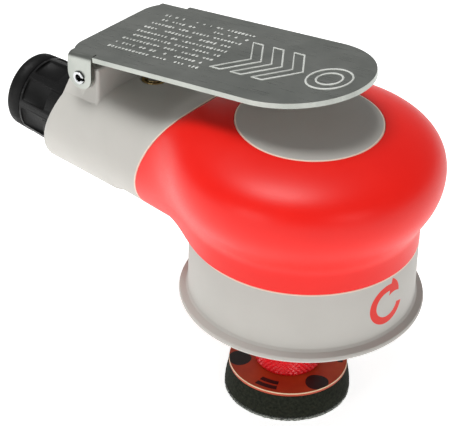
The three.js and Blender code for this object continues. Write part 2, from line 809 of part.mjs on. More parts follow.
function makeBalancer() {
  const cup = disc(spindleBearing.outerR + gap + balancerWall, balancerBottomZ, balancerTopZ)
    .translate([orbitX, orbitY, 0]);
  const sector = new THREE.Shape();
  const away = orbitAngle + Math.PI;
  sector.moveTo(0, 0);
  sector.absarc(0, 0, weightR, away - weightSpan / 2, away + weightSpan / 2);
  const weight = raise(sector, weightZ, balancerTopZ - gap, 24);
  const shaft = revolve([
    [0, balancerTopZ - 1], [collarR, balancerTopZ - 1], [collarR, frontBearingBottomZ - gap],
    [shaftLowR, frontBearingBottomZ - gap], [shaftLowR, frontBearingTopZ], [shaftR, frontBearingTopZ],
    [shaftR, rearBearingBottomZ - gap], [shaftTopR, rearBearingBottomZ - gap],
    [shaftTopR, shaftTopZ], [0, shaftTopZ],
  ]);
  const bearingBore = disc(spindleBearing.outerR + gap, -far, spindleBearingTopZ + gap);
  const clipBoreR = spindleBearing.outerR + clipDepth + gap;
  const clipBore = disc(clipBoreR, clipTopZ - clipT - gap, spindleBearingBottomZ);
  const hollow = join(bearingBore, clipBore).translate([orbitX, orbitY, 0]);
  return cut(join(cup, weight, shaft), hollow, keyBlock(gap));
}

function makeClip() {
  const outerR = spindleBearing.outerR + clipDepth;
  const clip = ring(outerR, outerR - clipWidth, clipTopZ - clipT, clipTopZ);
  return cut(clip, box(0, far, -clipMouth / 2, clipMouth / 2, -far, far));
}

function makeSpindle() {
  const shank = revolve([
    [0, spindleLowZ + gap], [spindleR - 0.5, spindleLowZ + gap], [spindleR, spindleLowZ + 1],
    [spindleR, spindleBearingTopZ], [0, spindleBearingTopZ],
  ], smallSides);
  return join(shank, disc(spindleHexR, hexBottomZ, hexTopZ, 6));
}

// ---- Pad ----

function makeHub() {
  const ribbed = new THREE.Shape();
  for (let i = 0; i < 2 * hubRibs; i += 1) {
    const angle = (Math.PI * i) / hubRibs;
    const r = i % 2 ? hubR - 0.5 : hubR;
    const point = [r * Math.cos(angle), r * Math.sin(angle)];
    if (i) ribbed.lineTo(...point);
    else ribbed.moveTo(...point);
  }
  const spigot = disc(padSpigotR, padSpigotZ, padTopZ + 1, smallSides);
  const body = join(raise(ribbed, padTopZ + gap, hubTopZ), spigot);
  return cut(body, disc(spindleR + gap, spindleLowZ, far, smallSides));
}

function makePadPlate() {
  return ring(padTopR, padSpigotR + gap, padTopZ - plateT, padTopZ, wideSides);
}

function makeFoam() {
  const z0 = abrasiveT + gap;
  const z1 = padTopZ - plateT - gap;
  const foam = revolve([[0, z0], [padR, z0], [padR - 0.1, z0 + 1.5], [padTopR, z1], [0, z1]], wideSides);
  return cut(foam, disc(padSpigotR + gap, padSpigotZ - gap, far, smallSides));
}

// ---- Scene ----

const finishes = {
  greyPlastic: { color: 0xc8c8c3, roughness: 0.5, metalness: 0 },
  redPlastic: { color: 0xe83024, roughness: 0.42, metalness: 0 },
  blackPlastic: { color: 0x1c1d1e, roughness: 0.5, metalness: 0 },
  blackRubber: { color: 0x1f2020, roughness: 0.8, metalness: 0 },
  steel: { color: 0x8f9492, roughness: 0.35, metalness: 1 },
  brightSteel: { color: 0xc9ccce, roughness: 0.2, metalness: 1 },
  aluminium: { color: 0xb9bdc0, roughness: 0.4, metalness: 1 },
  brass: { color: 0xb8954a, roughness: 0.35, metalness: 1 },
  vaneResin: { color: 0x6b4a2b, roughness: 0.7, metalness: 0 },
  feltGrey: { color: 0x8b8b86, roughness: 0.95, metalness: 0 },
  padBrown: { color: 0xb4552c, roughness: 0.5, metalness: 0 },
  foamBlack: { color: 0x26272a, roughness: 0.95, metalness: 0 },
  grit: { color: 0x8d8a84, roughness: 1, metalness: 0 },
  knobRed: { color: 0xd8202a, roughness: 0.4, metalness: 0 },
};

function node(name, solid, finish) {
  const { vertProperties, triVerts } = solid.getMesh();
  const geometry = new THREE.BufferGeometry();
  geometry.setAttribute('position', new THREE.BufferAttribute(vertProperties, 3));
  geometry.setIndex(new THREE.BufferAttribute(triVerts, 1));
  geometry.computeVertexNormals();
  const mesh = new THREE.Mesh(geometry, new THREE.MeshStandardMaterial(finishes[finish]));
  mesh.name = name;
  return mesh;
}

function bearing(prefix, sizes, z) {
  const group = new THREE.Group();
  group.add(node(`${prefix}_outer_ring`, outerRace(sizes), 'brightSteel'));
  group.add(node(`${prefix}_ball_cage`, ballCage(sizes), 'steel'));
  group.add(node(`${prefix}_inner_ring`, innerRace(sizes), 'brightSteel'));
  group.position.z = z;
  return group;
}

function shells() {
  const group = new THREE.Group();
  group.add(node('housing', makeHousing(), 'greyPlastic'));
  group.add(node('grip', makeGrip(), 'redPlastic'));
  group.add(node('shroud', makeShroud(), 'greyPlastic'));
  return group;
}

function throttle() {
  const group = new THREE.Group();
  group.add(node('lever', makeLever(), 'steel'));
  group.add(node('lever_pin', makePin(), 'brightSteel'));
  group.add(node('inlet_bushing', makeBushing(), 'blackPlastic'));
  group.add(node('inlet_ring', makeInletRing(), 'blackRubber'));
  group.add(node('inlet_screen', makeScreen(), 'brass'));
  group.add(node('valve_seat', makeSeat(), 'blackRubber'));
  group.add(node('tip_valve', makeTipValve(), 'brass'));
  group.add(node('valve_spring', makeSpring(), 'brightSteel'));
  group.add(node('valve_stem', makeStem(), 'brightSteel'));
  group.add(node('stem_ring', makeStemRing(), 'blackRubber'));
  group.add(node('stem_bush', makeStemBush(), 'brass'));
  group.add(node('speed_regulator', makeRegulator(), 'blackPlastic'));
  group.add(node('regulator_clip', makeRegulatorClip(), 'brightSteel'));
  group.add(node('regulator_ring', makeRegulatorRing(), 'blackRubber'));
  group.add(node('muffler', makeMuffler(), 'feltGrey'));
  group.add(node('muffler_cover', makeCover(), 'blackPlastic'));
  return group;
}

function motor() {
  const group = new THREE.Group();
  group.add(node('rear_end_plate', makeRearPlate(), 'aluminium'));
  group.add(bearing('rear_bearing', rearBearing, rearBearingBottomZ));
  group.add(node('motor_ring', makeMotorRing(), 'blackRubber'));
  const dowel = disc(dowelR, dowelBottomZ, dowelTopZ, smallSides);
  const locatingPin = node('locating_pin', dowel, 'brightSteel');
  locatingPin.position.y = dowelY;
  group.add(locatingPin);
  group.add(node('cylinder', makeCylinder(), 'aluminium'));
  group.add(node('rotor', makeRotor(), 'steel'));
  group.add(node('rotor_key', keyBlock(0), 'brightSteel'));
  for (let i = 0; i < vaneCount; i += 1) {
    const vane = node(`vane_${i + 1}`, makeVane(), 'vaneResin');
    vane.rotation.z = (2 * Math.PI * i) / vaneCount;
    group.add(vane);
  }
  group.add(node('front_end_plate', makeFrontPlate(), 'aluminium'));
  group.add(bearing('front_bearing', frontBearing, frontBearingBottomZ));
  group.add(node('lock_ring', makeLockRing(), 'aluminium'));
  group.add(node('shaft_balancer', makeBalancer(), 'steel'));
  return group;
}

// Everything that turns about the orbiting spindle, drawn about its own axis
function spindleAndPad() {
  const group = new THREE.Group();
  group.add(bearing('spindle_bearing', spindleBearing, spindleBearingBottomZ));
  group.add(node('spindle_clip', makeClip(), 'steel'));
  const shield = ring(shieldR, spindleR + gap, shieldTopZ - shieldT, shieldTopZ);
  group.add(node('dust_shield', shield, 'brightSteel'));
  group.add(node('spindle', makeSpindle(), 'steel'));
  group.add(node('pad_hub', makeHub(), 'knobRed'));
  group.add(node('pad_plate', makePadPlate(), 'padBrown'));
  group.add(node('pad_foam', makeFoam(), 'foamBlack'));
  group.add(node('abrasive_disc', disc(padR, 0, abrasiveT, wideSides), 'grit'));
  group.position.set(orbitX, orbitY, 0);
  return group;
}

const sander = new THREE.Group();
sander.add(shells(), throttle(), motor(), spindleAndPad());

export default sander;
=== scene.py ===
import math

import bmesh
import bpy
import numpy as np
from mathutils import Matrix, Vector


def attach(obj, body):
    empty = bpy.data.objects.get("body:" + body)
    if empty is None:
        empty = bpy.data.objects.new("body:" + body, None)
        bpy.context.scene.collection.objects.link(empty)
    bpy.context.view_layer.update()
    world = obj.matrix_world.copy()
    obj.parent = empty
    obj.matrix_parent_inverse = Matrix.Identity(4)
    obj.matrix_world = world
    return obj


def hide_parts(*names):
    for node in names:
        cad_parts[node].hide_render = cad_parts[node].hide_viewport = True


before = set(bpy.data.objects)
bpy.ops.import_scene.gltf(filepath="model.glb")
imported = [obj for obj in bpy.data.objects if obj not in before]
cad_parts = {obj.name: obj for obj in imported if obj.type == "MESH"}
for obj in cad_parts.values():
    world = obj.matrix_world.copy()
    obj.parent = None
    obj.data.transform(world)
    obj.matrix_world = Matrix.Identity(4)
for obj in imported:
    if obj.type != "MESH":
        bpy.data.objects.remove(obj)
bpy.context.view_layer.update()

mm = 0.001  # sizes below are in millimetres unless a note says otherwise
print("frame loaded:", len(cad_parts), "nodes")

seam = 0.08  # half the line left between two shells that meet

body = {
    "axisZ": 58.5,
    "rootR": 21.8,
    "tailR": 18.0,
    "tailX": -80.0,
    "topZ": 70.6,
    "topEdge": 7.0,  # how softly the flat top turns into the round side
    "rearX": -70.5,
    "rearSlant": math.radians(25),
    "rearEdge": 3.0,
    "inletZ": 50.2,
    "inletBossR": 12.8,
    "inletBossEndX": -54.5,
    "inletBlend": 7.0,
    "headBlend": 15.0,  # how widely the handle melts into the head
    "barEndX": -8.0,
    "floorZ": 35.0,  # closes the head's wall below anything that is kept
    "gripWall": 1.6,
}

head = {
    "waistR": 28.3,
    "gripLineZ": 48.1,
    "bandTopZ": 53.0,
    "bulgeR": 33.4,
    "bulgeZ": 67.3,
    "domeR": 18.0,
    "domeEdgeZ": 78.5,
    "crownZ": 80.0,
    "skirtR": 26.4,
    "skirtBottomZ": 35.0,
}

seamArc = {"x": 14.5, "z": 39.0, "r": 55.0}  # the grip's edge on the handle, seen from the side


def newPiece(name, points, faces):
    mesh = bpy.data.meshes.new(name)
    mesh.from_pydata((np.asarray(points, float) * mm).tolist(), [], faces)
    piece = bpy.data.objects.new(name, mesh)
    bpy.context.scene.collection.objects.link(piece)
    return piece


def copyOf(piece):
    copy = bpy.data.objects.new(piece.name, piece.data.copy())
    bpy.context.scene.collection.objects.link(copy)
    return copy


def tidyNormals(piece):
    work = bmesh.new()
    work.from_mesh(piece.data)
    bmesh.ops.remove_doubles(work, verts=work.verts, dist=0.002 * mm)
    bmesh.ops.recalc_face_normals(work, faces=work.faces)
    work.to_mesh(piece.data)
    work.free()
    return piece


def bake(piece):
    bpy.context.view_layer.update()
    evaluated = piece.evaluated_get(bpy.context.evaluated_depsgraph_get())
    piece.data = bpy.data.meshes.new_from_object(evaluated)
    piece.modifiers.clear()
    return piece


def combine(piece, tool, operation):
    modifier = piece.modifiers.new("combine", "BOOLEAN")
    modifier.solver = "MANIFOLD"
    modifier.operation = operation
    modifier.object = tool
    bake(piece)
    bpy.data.objects.remove(tool)
    return piece


def cut(piece, *tools):
    for tool in tools:
        combine(piece, tool, "DIFFERENCE")
    return piece


def keep(piece, tool):
    return combine(piece, tool, "INTERSECT")


def add(piece, *tools):
    for tool in tools:
        combine(piece, tool, "UNION")
    return piece


def soften(piece, width, angle=40, segments=2):
    bevel = piece.modifiers.new("edges", "BEVEL")
    bevel.width = width * mm
    bevel.segments = segments
    bevel.limit_method = "ANGLE"
    bevel.angle_limit = math.radians(angle)
    bevel.miter_outer = "MITER_ARC"
    piece.modifiers.new("normals", "WEIGHTED_NORMAL")
    piece.data.shade_smooth()
    return bake(piece)


def shade(piece, angle=32):
    piece.data.shade_smooth()
    piece.data.set_sharp_from_angle(angle=math.radians(angle))
    return piece


# An outline of (a, b) or (a, b, fillet) corners, with an arc at each fillet
def rounded(corners, steps=4, closed=True):
    points = []
    count = len(corners)
    for i, corner in enumerate(corners):
        here = np.array(corner[:2], float)
        fillet = corner[2] if len(corner) > 2 else 0
        if not fillet or (not closed and i in (0, count - 1)):
            points.append(tuple(here))
            continue
        back = np.array(corners[i - 1][:2], float) - here
        on = np.array(corners[(i + 1) % count][:2], float) - here
        back /= np.linalg.norm(back)
        on /= np.linalg.norm(on)
        half = math.acos(np.clip(back @ on, -1, 1)) / 2
        reach = fillet / math.tan(half)
        centre = here + (back + on) / np.linalg.norm(back + on) * fillet / math.sin(half)
        start = here + back * reach - centre
        end = here + on * reach - centre
        a0 = math.atan2(start[1], start[0])
        turn = (math.atan2(end[1], end[0]) - a0 + math.pi) % (2 * math.pi) - math.pi
        for step in range(steps + 1):
            angle = a0 + turn * step / steps
            points.append(tuple(centre + fillet * np.array([math.cos(angle), math.sin(angle)])))
    return points


# A solid of revolution about Z from a closed (r, z) outline, or one that starts and ends on the axis
def lathe(name, outline, sides=96, centre=(0, 0)):
    points, rings = [], []
    for r, z in outline:
        if r < 1e-6:
            rings.append([len(points)] * sides)
            points.append((0, 0, z))
            continue
        rings.append(list(range(len(points), len(points) + sides)))
        for i in range(sides):
            angle = 2 * math.pi * i / sides
            points.append((r * math.cos(angle), r * math.sin(angle), z))
    faces = []
    onAxis = outline[0][0] < 1e-6 and outline[-1][0] < 1e-6
    for k in range(len(rings) - 1 if onAxis else len(rings)):
        low, high = rings[k], rings[(k + 1) % len(rings)]
        for i in range(sides):
            j = (i + 1) % sides
            face = list(dict.fromkeys([low[i], low[j], high[j], high[i]]))
            if len(face) > 2:
                faces.append(face)
    points = np.array(points) + np.array([centre[0], centre[1], 0])
    return tidyNormals(newPiece(name, points, faces))


def disc(r, z0, z1, sides=96, centre=(0, 0), name="tool"):
    return lathe(name, [(0, z0), (r, z0), (r, z1), (0, z1)], sides, centre)


# Turns a piece about Z into one about X or Y, through (x, z)
def layAlong(piece, axis, x=0.0, z=0.0):
    turn = Matrix.Rotation(math.pi / 2, 4, "Y" if axis == "X" else "X")
    piece.data.transform(Matrix.Translation((x * mm, 0, z * mm)) @ turn)
    return piece


def barX(r, x0, x1, z, sides=96):
    return layAlong(disc(r, x0, x1, sides), "X", 0, z)


def barY(r, x, z, reach=60, sides=48):
    return layAlong(disc(r, -reach, reach, sides), "Y", x, z)


def block(x0, x1, y0, y1, z0, z1, name="tool"):
    points = [(x, y, z) for x in (x0, x1) for y in (y0, y1) for z in (z0, z1)]
    faces = [(0, 1, 3, 2), (4, 6, 7, 5), (0, 4, 5, 1), (2, 3, 7, 6), (0, 2, 6, 4), (1, 5, 7, 3)]
    return tidyNormals(newPiece(name, points, faces))


# A flat outline of (a, b) points pushed from one depth to another; place turns (a, b, depth) into x, y, z
def pushThrough(name, outline, depth0, depth1, place):
    count = len(outline)
    points = [place(a, b, depth0) for a, b in outline] + [place(a, b, depth1) for a, b in outline]
    faces = [list(range(count))[::-1], list(range(count, 2 * count))]
    for i in range(count):
        j = (i + 1) % count
        faces.append([i, j, count + j, count + i])
    return tidyNormals(newPiece(name, points, faces))


# The lower of two distances, rounded over where they come within the width
def smoothMin(a, b, width):
    near = np.clip(width - np.abs(a - b), 0, None) / width
    return np.minimum(a, b) - near**3 * width / 6


def smoothMax(a, b, width):
    return -smoothMin(-a, -b, width)


def bezier(corners, count=40):
    t = np.linspace(0, 1, count + 1)[:, None]
    a, b, c, d = np.array(corners, float)
    return a * (1 - t) ** 3 + 3 * b * t * (1 - t) ** 2 + 3 * c * t**2 * (1 - t) + d * t**3


# The head's side from well below the grip line, round the bulge and over the crown
def headOutline():
    h = head
    low = [(h["waistR"], 20.0)]
    waist = (h["waistR"], h["bandTopZ"])
    bulge = (h["bulgeR"], h["bulgeZ"])
    edge = (h["domeR"], h["domeEdgeZ"])
    rise = h["crownZ"] - h["domeEdgeZ"]
    flare = bezier([waist, (waist[0], waist[1] + 3.5), (bulge[0], bulge[1] - 7.3), bulge])
    pull = 10.5
    edgeHold = (edge[0] + pull, edge[1] - 2 * rise * pull / edge[0])
    shoulder = bezier([bulge, (bulge[0], bulge[1] + 6.5), edgeHold, edge])
    r = np.linspace(h["domeR"], 0, 25)[1:]
    crown = np.stack([r, h["crownZ"] - rise * (r / h["domeR"]) ** 2], 1)
    return np.concatenate([low, flare, shoulder[1:], crown])


# Distances to the head's outline on a fine grid, below zero inside; headField reads between them
def makeHeadTable(step=0.16, reachR=62.0, lowZ=24.0, highZ=96.0):
    outline = headOutline()
    r, z = np.meshgrid(np.arange(0, reachR, step), np.arange(lowZ, highZ, step), indexing="ij")
    best = np.full(r.shape, 1e9)
    for (r0, z0), (r1, z1) in zip(outline[:-1], outline[1:]):
        dr, dz = r1 - r0, z1 - z0
        t = np.clip(((r - r0) * dr + (z - z0) * dz) / (dr * dr + dz * dz), 0, 1)
        best = np.minimum(best, np.hypot(r - r0 - t * dr, z - z0 - t * dz))
    edge = np.interp(z, outline[:, 1], outline[:, 0], right=-1)
    inside = (r < edge) & (z < head["crownZ"])
    return {"values": np.where(inside, -best, best), "step": step, "lowZ": lowZ}


headTable = makeHeadTable()


def headField(x, y, z):
    values, step = headTable["values"], headTable["step"]
    a = np.clip(np.hypot(x, y) / step, 0, values.shape[0] - 1.001)
    b = np.clip((z - headTable["lowZ"]) / step, 0, values.shape[1] - 1.001)
    i, j = a.astype(int), b.astype(int)
    a, b = a - i, b - j
    low = values[i, j] * (1 - a) + values[i + 1, j] * a
    high = values[i, j + 1] * (1 - a) + values[i + 1, j + 1] * a
    return low * (1 - b) + high * b


def handleField(x, y, z):
    radius = body["rootR"] + (body["tailR"] - body["rootR"]) * x / body["tailX"]
    side = smoothMax(np.hypot(y, z - body["axisZ"]) - radius, z - body["topZ"], body["topEdge"])
    end = x - body["barEndX"]
    outside = np.hypot(np.maximum(side, 0), np.maximum(end, 0))
    return outside + np.minimum(np.maximum(side, end), 0)


def bodyField(x, y, z):
    whole = smoothMin(headField(x, y, z), handleField(x, y, z), body["headBlend"])
    fromInlet = np.hypot(y, z - body["inletZ"])
    inletBoss = np.maximum(fromInlet - body["inletBossR"], x - body["inletBossEndX"])
    whole = smoothMin(whole, inletBoss, body["inletBlend"])
    rear = body["rearX"] + (z - body["axisZ"]) * math.tan(body["rearSlant"]) - x
    whole = smoothMax(whole, rear * math.cos(body["rearSlant"]), body["rearEdge"])
    return np.maximum(whole, body["floorZ"] - z)


# A closed skin where the field, plus an inset, crosses zero: one point a mixed cell, moved onto the field
def netSkin(name, inset, low, high, cell):
    def field(x, y, z):
        return bodyField(x, y, z) + inset

    axes = [np.arange(a, b + cell, cell) for a, b in zip(low, high)]
    values = field(*np.meshgrid(*axes, indexing="ij"))
    inside = values < 0
    size = np.array(values.shape) - 1
    corner = [(i, j, k) for i in (0, 1) for j in (0, 1) for k in (0, 1)]

    def at(array, offset):
        i, j, k = offset
        return array[i : i + size[0], j : j + size[1], k : k + size[2]]

    count = sum(at(inside, c).astype(np.int8) for c in corner)
    cells = np.argwhere((count > 0) & (count < 8))
    index = np.full(size, -1)
    index[tuple(cells.T)] = np.arange(len(cells))
    total = np.zeros((len(cells), 3))
    crossings = np.zeros(len(cells))
    for axis in range(3):
        for c in corner:
            if c[axis]:
                continue
            a = values[tuple((cells + c).T)]
            step = np.eye(3, dtype=int)[axis]
            b = values[tuple((cells + c + step).T)]
            crossed = (a < 0) != (b < 0)
            t = np.where(crossed, a / np.where(crossed, a - b, 1), 0)
            place = cells + c + t[:, None] * step
            total += np.where(crossed[:, None], place, 0)
            crossings += crossed
    points = np.array(low) + cell * total / crossings[:, None]
    for _ in range(5):
        value = field(*points.T)
        slope = np.stack(
            [(field(*(points + d).T) - field(*(points - d).T)) / 0.1 for d in 0.05 * np.eye(3)], 1
        )
        move = slope * (value / np.maximum((slope**2).sum(1), 0.2))[:, None]
        points -= np.clip(move, -cell / 2, cell / 2)
    quads = []
    for axis in range(3):
        u, v = np.eye(3, dtype=int)[(axis + 1) % 3], np.eye(3, dtype=int)[(axis + 2) % 3]
        step = np.eye(3, dtype=int)[axis]
        shape = np.array(values.shape) - step
        lowSide = inside[: shape[0], : shape[1], : shape[2]]
        highSide = inside[step[0] :, step[1] :, step[2] :]
        edges = np.argwhere(lowSide != highSide)
        loop = np.stack([index[tuple((edges - d).T)] for d in (u + v, v, 0 * u, u)], 1)
        outward = lowSide[tuple(edges.T)]
        loop[~outward] = loop[~outward][:, ::-1]
        quads.append(loop)
    return newPiece(name, points, np.concatenate(quads).tolist())


bodyLow, bodyHigh = (-86.0, -37.0, 33.0), (37.0, 37.0, 84.0)


# Links a node's output to a socket, or sets a plain value on it
def link(tree, value, socket):
    if isinstance(value, bpy.types.NodeSocket):
        tree.links.new(value, socket)
    else:
        socket.default_value = value


def calc(tree, operation, *values):
    node = tree.nodes.new("ShaderNodeMath")
    node.operation = operation
    for value, socket in zip(values, node.inputs):
        link(tree, value, socket)
    return node.outputs[0]


def noise(tree, place, scale, detail=3.0, roughness=0.55):
    node = tree.nodes.new("ShaderNodeTexNoise")
    tree.links.new(place, node.inputs["Vector"])
    node.inputs["Scale"].default_value = scale
    node.inputs["Detail"].default_value = detail
    node.inputs["Roughness"].default_value = roughness
    return node.outputs["Fac"]


def spread(tree, value, low, high, fromLow=0.3, fromHigh=0.7):
    node = tree.nodes.new("ShaderNodeMapRange")
    tree.links.new(value, node.inputs["Value"])
    node.inputs["From Min"].default_value = fromLow
    node.inputs["From Max"].default_value = fromHigh
    node.inputs["To Min"].default_value = low
    node.inputs["To Max"].default_value = high
    return node.outputs["Result"]


def mixColour(tree, amount, a, b):
    node = tree.nodes.new("ShaderNodeMix")
    node.data_type = "RGBA"
    link(tree, amount, node.inputs[0])
    link(tree, a, node.inputs[6])
    link(tree, b, node.inputs[7])
    return node.outputs[2]


def length(tree, a, b):
    return calc(tree, "SQRT", calc(tree, "ADD", calc(tree, "POWER", a, 2.0), calc(tree, "POWER", b, 2.0)))


def inRange(tree, value, low, high):
    above = calc(tree, "GREATER_THAN", value, low)
    return calc(tree, "MULTIPLY", above, calc(tree, "LESS_THAN", value, high))


def either(tree, *masks):
    whole = masks[0]
    for mask in masks[1:]:
        whole = calc(tree, "MAXIMUM", whole, mask)
    return whole


def both(tree, *masks):
    whole = masks[0]
    for mask in masks[1:]:
        whole = calc(tree, "MULTIPLY", whole, mask)
    return whole


# Screen colours, 0 to 255, as the linear values that a shader takes
def tint(red, green, blue):
    def linear(c):
        c /= 255
        return c / 12.92 if c <= 0.04045 else ((c + 0.055) / 1.055) ** 2.4

    return (linear(red), linear(green), linear(blue), 1.0)


# tone and other drift into each other; drift and grain are sizes in mm, and brush stretches the grain

finishes = {
    "grey_nylon": {
        "tone": tint(188, 186, 180), "other": tint(185, 183, 177),
        "gloss": (0.45, 0.55), "bump": 0.05, "shine": 0.3,
    },
    "red_overmould": {
        "tone": tint(238, 26, 14), "other": tint(235, 23, 12),
        "gloss": (0.36, 0.44), "bump": 0.08, "shine": 0.32,
    },
    "black_plastic": {
        "tone": tint(13, 13, 13), "other": tint(19, 19, 19), "gloss": (0.45, 0.6), "bump": 0.25, "shine": 0.2,
    },
    "black_rubber": {"tone": tint(28, 28, 28), "other": tint(38, 38, 38), "gloss": (0.7, 0.85), "bump": 0.1},
    "lever_steel": {
        "tone": tint(178, 181, 175), "other": tint(160, 164, 158), "gloss": (0.26, 0.4), "metal": 1.0,
        "bump": 0.06, "brush": (0.04, 1.0, 0.04),
    },
    # pale colour of the raised stamped marks: a painted highlight on top of their real raised shape
    "stamp_highlight": {"tone": tint(222, 224, 219), "other": tint(196, 199, 193), "gloss": (0.45, 0.6), "bump": 0.1},
    "bright_steel": {
        "tone": tint(212, 214, 215), "other": tint(188, 190, 192),
        "gloss": (0.14, 0.26), "metal": 1.0, "bump": 0.02,
    },
    "bearing_steel": {
        "tone": tint(205, 207, 210), "other": tint(180, 183, 187),
        "gloss": (0.1, 0.2), "metal": 1.0, "bump": 0.01,
    },
    "dark_steel": {
        "tone": tint(150, 152, 154), "other": tint(118, 120, 122),
        "gloss": (0.3, 0.45), "metal": 1.0, "bump": 0.06,
    },
    "aluminium": {
        "tone": tint(200, 202, 205), "other": tint(176, 178, 182),
        "gloss": (0.3, 0.42), "metal": 1.0, "bump": 0.06,
    },
    "brass": {
        "tone": tint(196, 166, 104), "other": tint(166, 136, 78),
        "gloss": (0.24, 0.38), "metal": 1.0, "bump": 0.03,
    },
    "vane_resin": {
        "tone": tint(110, 74, 42), "other": tint(84, 54, 30), "gloss": (0.5, 0.65), "bump": 0.1,
        "brush": (1.0, 1.0, 0.1),
    },
    "felt": {
        "tone": tint(150, 149, 143), "other": tint(112, 111, 106),
        "gloss": (0.9, 1.0), "bump": 0.6, "grain": 0.5,
    },
    "red_hub": {"tone": tint(240, 14, 30), "other": tint(226, 8, 24), "gloss": (0.28, 0.4), "bump": 0.05},
    "pad_plate": {"tone": tint(196, 74, 30), "other": tint(176, 52, 22), "gloss": (0.35, 0.5), "bump": 0.08},
    "pad_foam": {
        "tone": tint(20, 23, 17), "other": tint(42, 45, 34), "gloss": (0.85, 1.0), "bump": 0.7, "grain": 0.45,
        "drift": 0.7, "shine": 0.2,
    },
    "abrasive": {
        "tone": tint(176, 180, 172), "other": tint(44, 46, 42),
        "gloss": (0.8, 1.0), "bump": 0.8, "grain": 0.3, "drift": 0.45, "shine": 0.3,
    },
}

materials = {}


def makeFinish(name, variant=""):
    s = finishes[name]
    material = bpy.data.materials.new(name + variant)
    material.use_nodes = True
    tree = material.node_tree
    shader = tree.nodes["Principled BSDF"]
    coordinates = tree.nodes.new("ShaderNodeTexCoord").outputs["Object"]
    stretch = tree.nodes.new("ShaderNodeMapping")
    tree.links.new(coordinates, stretch.inputs["Vector"])
    stretch.inputs["Scale"].default_value = s.get("brush", (1.0, 1.0, 1.0))
    place = stretch.outputs["Vector"]
    drift = noise(tree, coordinates, 1 / (s.get("drift", 9.0) * mm))
    fine = noise(tree, place, 1 / (s.get("grain", 0.35) * mm), 2.0)
    colour = mixColour(tree, spread(tree, drift, 0.0, 1.0), s["tone"], s["other"])
    tree.links.new(colour, shader.inputs["Base Color"])
    tree.links.new(spread(tree, fine, *s["gloss"]), shader.inputs["Roughness"])
    shader.inputs["Metallic"].default_value = s.get("metal", 0.0)
    shader.inputs["Specular IOR Level"].default_value = s.get("shine", 0.5)
    bump = tree.nodes.new("ShaderNodeBump")
    bump.inputs["Strength"].default_value = s["bump"]
    bump.inputs["Distance"].default_value = 0.1 * mm
    tree.links.new(fine, bump.inputs["Height"])
    tree.links.new(bump.outputs["Normal"], shader.inputs["Normal"])
    return material


# Lays another colour over a finish where the mask is one
def paint(material, makeMask, colour):
    tree = material.node_tree
    shader = tree.nodes["Principled BSDF"]
    split = tree.nodes.new("ShaderNodeSeparateXYZ")
    coordinates = tree.nodes.new("ShaderNodeTexCoord").outputs["Object"]
    tree.links.new(coordinates, split.inputs[0])
    x, y, z = [calc(tree, "DIVIDE", split.outputs[i], mm) for i in range(3)]
    mask = makeMask(tree, x, y, z)
    old = shader.inputs["Base Color"].links[0].from_socket
    tree.links.new(mixColour(tree, mask, old, colour), shader.inputs["Base Color"])
    return material


for finish in finishes:
    materials[finish] = makeFinish(finish)


def finishPiece(piece, rider, slot, material, *nodes):
    piece.data.materials.clear()
    piece.data.materials.append(material)
    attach(piece, rider)
    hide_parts(*nodes)
    return piece


shells = {
    "cell": 0.62,
    "coreCell": 1.3,
    "highlightLine": 0.42,  # width of the painted highlight line along the grip's edges
    # pale colour of that painted highlight line, also used along the shroud's top
    "highlightColour": tint(240, 214, 196),
    "boreR": 23.7,
    "ceilingZ": 73.5,
    "pocketR": 12.3,
    "pocketZ": 77.6,
    "bossFrontX": -54.0,
    "bossHalfY": 16.2,
    "bossTopZ": 78.0,
    "bossEdge": 0.8,
    "pivotX": -58.6,
    "pivotZ": 74.9,
    "pinR": 1.7,
    "stemX": -50.0,
    "stemBushR": 3.5,
    "regulatorX": -35.0,
    "regulatorR": 4.2,
    "muffler": (-58.0, 12.3, 62.6, 69.0),  # front, half width, bottom and top
    "regulatorTopZ": 56.3,
    "holeFit": 0.15,  # added to the regulator's radius for its hole
    "bead": (25.6, 28.0, 43.2, 44.8),  # the snap groove's inner and outer radius, bottom and top
    "inletBores": ((11.55, -69.2), (9.3, -62.2), (6.5, -58.6), (4.6, -19.7)),  # radius and inner end
    "bushBottomZ": 64.3,
    "stemBoreR": 3.0,
    "stemBoreTopZ": 72.0,
    "exhaust": (6.2, 12.0, 58.6, 66.0),  # each duct's inner and outer y, bottom and top
    "bossBottomZ": 60.0,
}


# The plain tapered bar of the handle, without the melt into the head
def handleBar(inset, x0=-90.0, x1=0.0):
    taper = (body["tailR"] - body["rootR"]) / body["tailX"]
    r0, r1 = [body["rootR"] + taper * x - inset for x in (x0, x1)]
    outline = [(0, x0), (r0, x0), (r1, x1), (0, x1)]
    bar = layAlong(lathe("bar", outline, 192), "X", 0, body["axisZ"])
    return cut(bar, block(x0 - 5, x1 + 5, -60, 60, body["topZ"] - inset, 120))


# Everything below the grip line except the handle's own bar
def belowGripLine(inset):
    return cut(disc(62, 0, head["gripLineZ"], 64), handleBar(inset))


def seamCylinder(offset):
    return barY(seamArc["r"] + offset, seamArc["x"], seamArc["z"], 60, 256)


def makeGrip(skin):
    s = shells
    grip = keep(skin, seamCylinder(-seam))
    core = netSkin("core", body["gripWall"], bodyLow, bodyHigh, s["coreCell"])
    domeHole = disc(head["domeR"] + seam, head["bulgeZ"], 100, 256)
    hole = disc(s["regulatorR"] + s["holeFit"], 0, body["axisZ"], 64, (s["regulatorX"], 0))
    cut(grip, core, belowGripLine(0), domeHole, hole)
    grip.name = "grip_shell"
    return grip


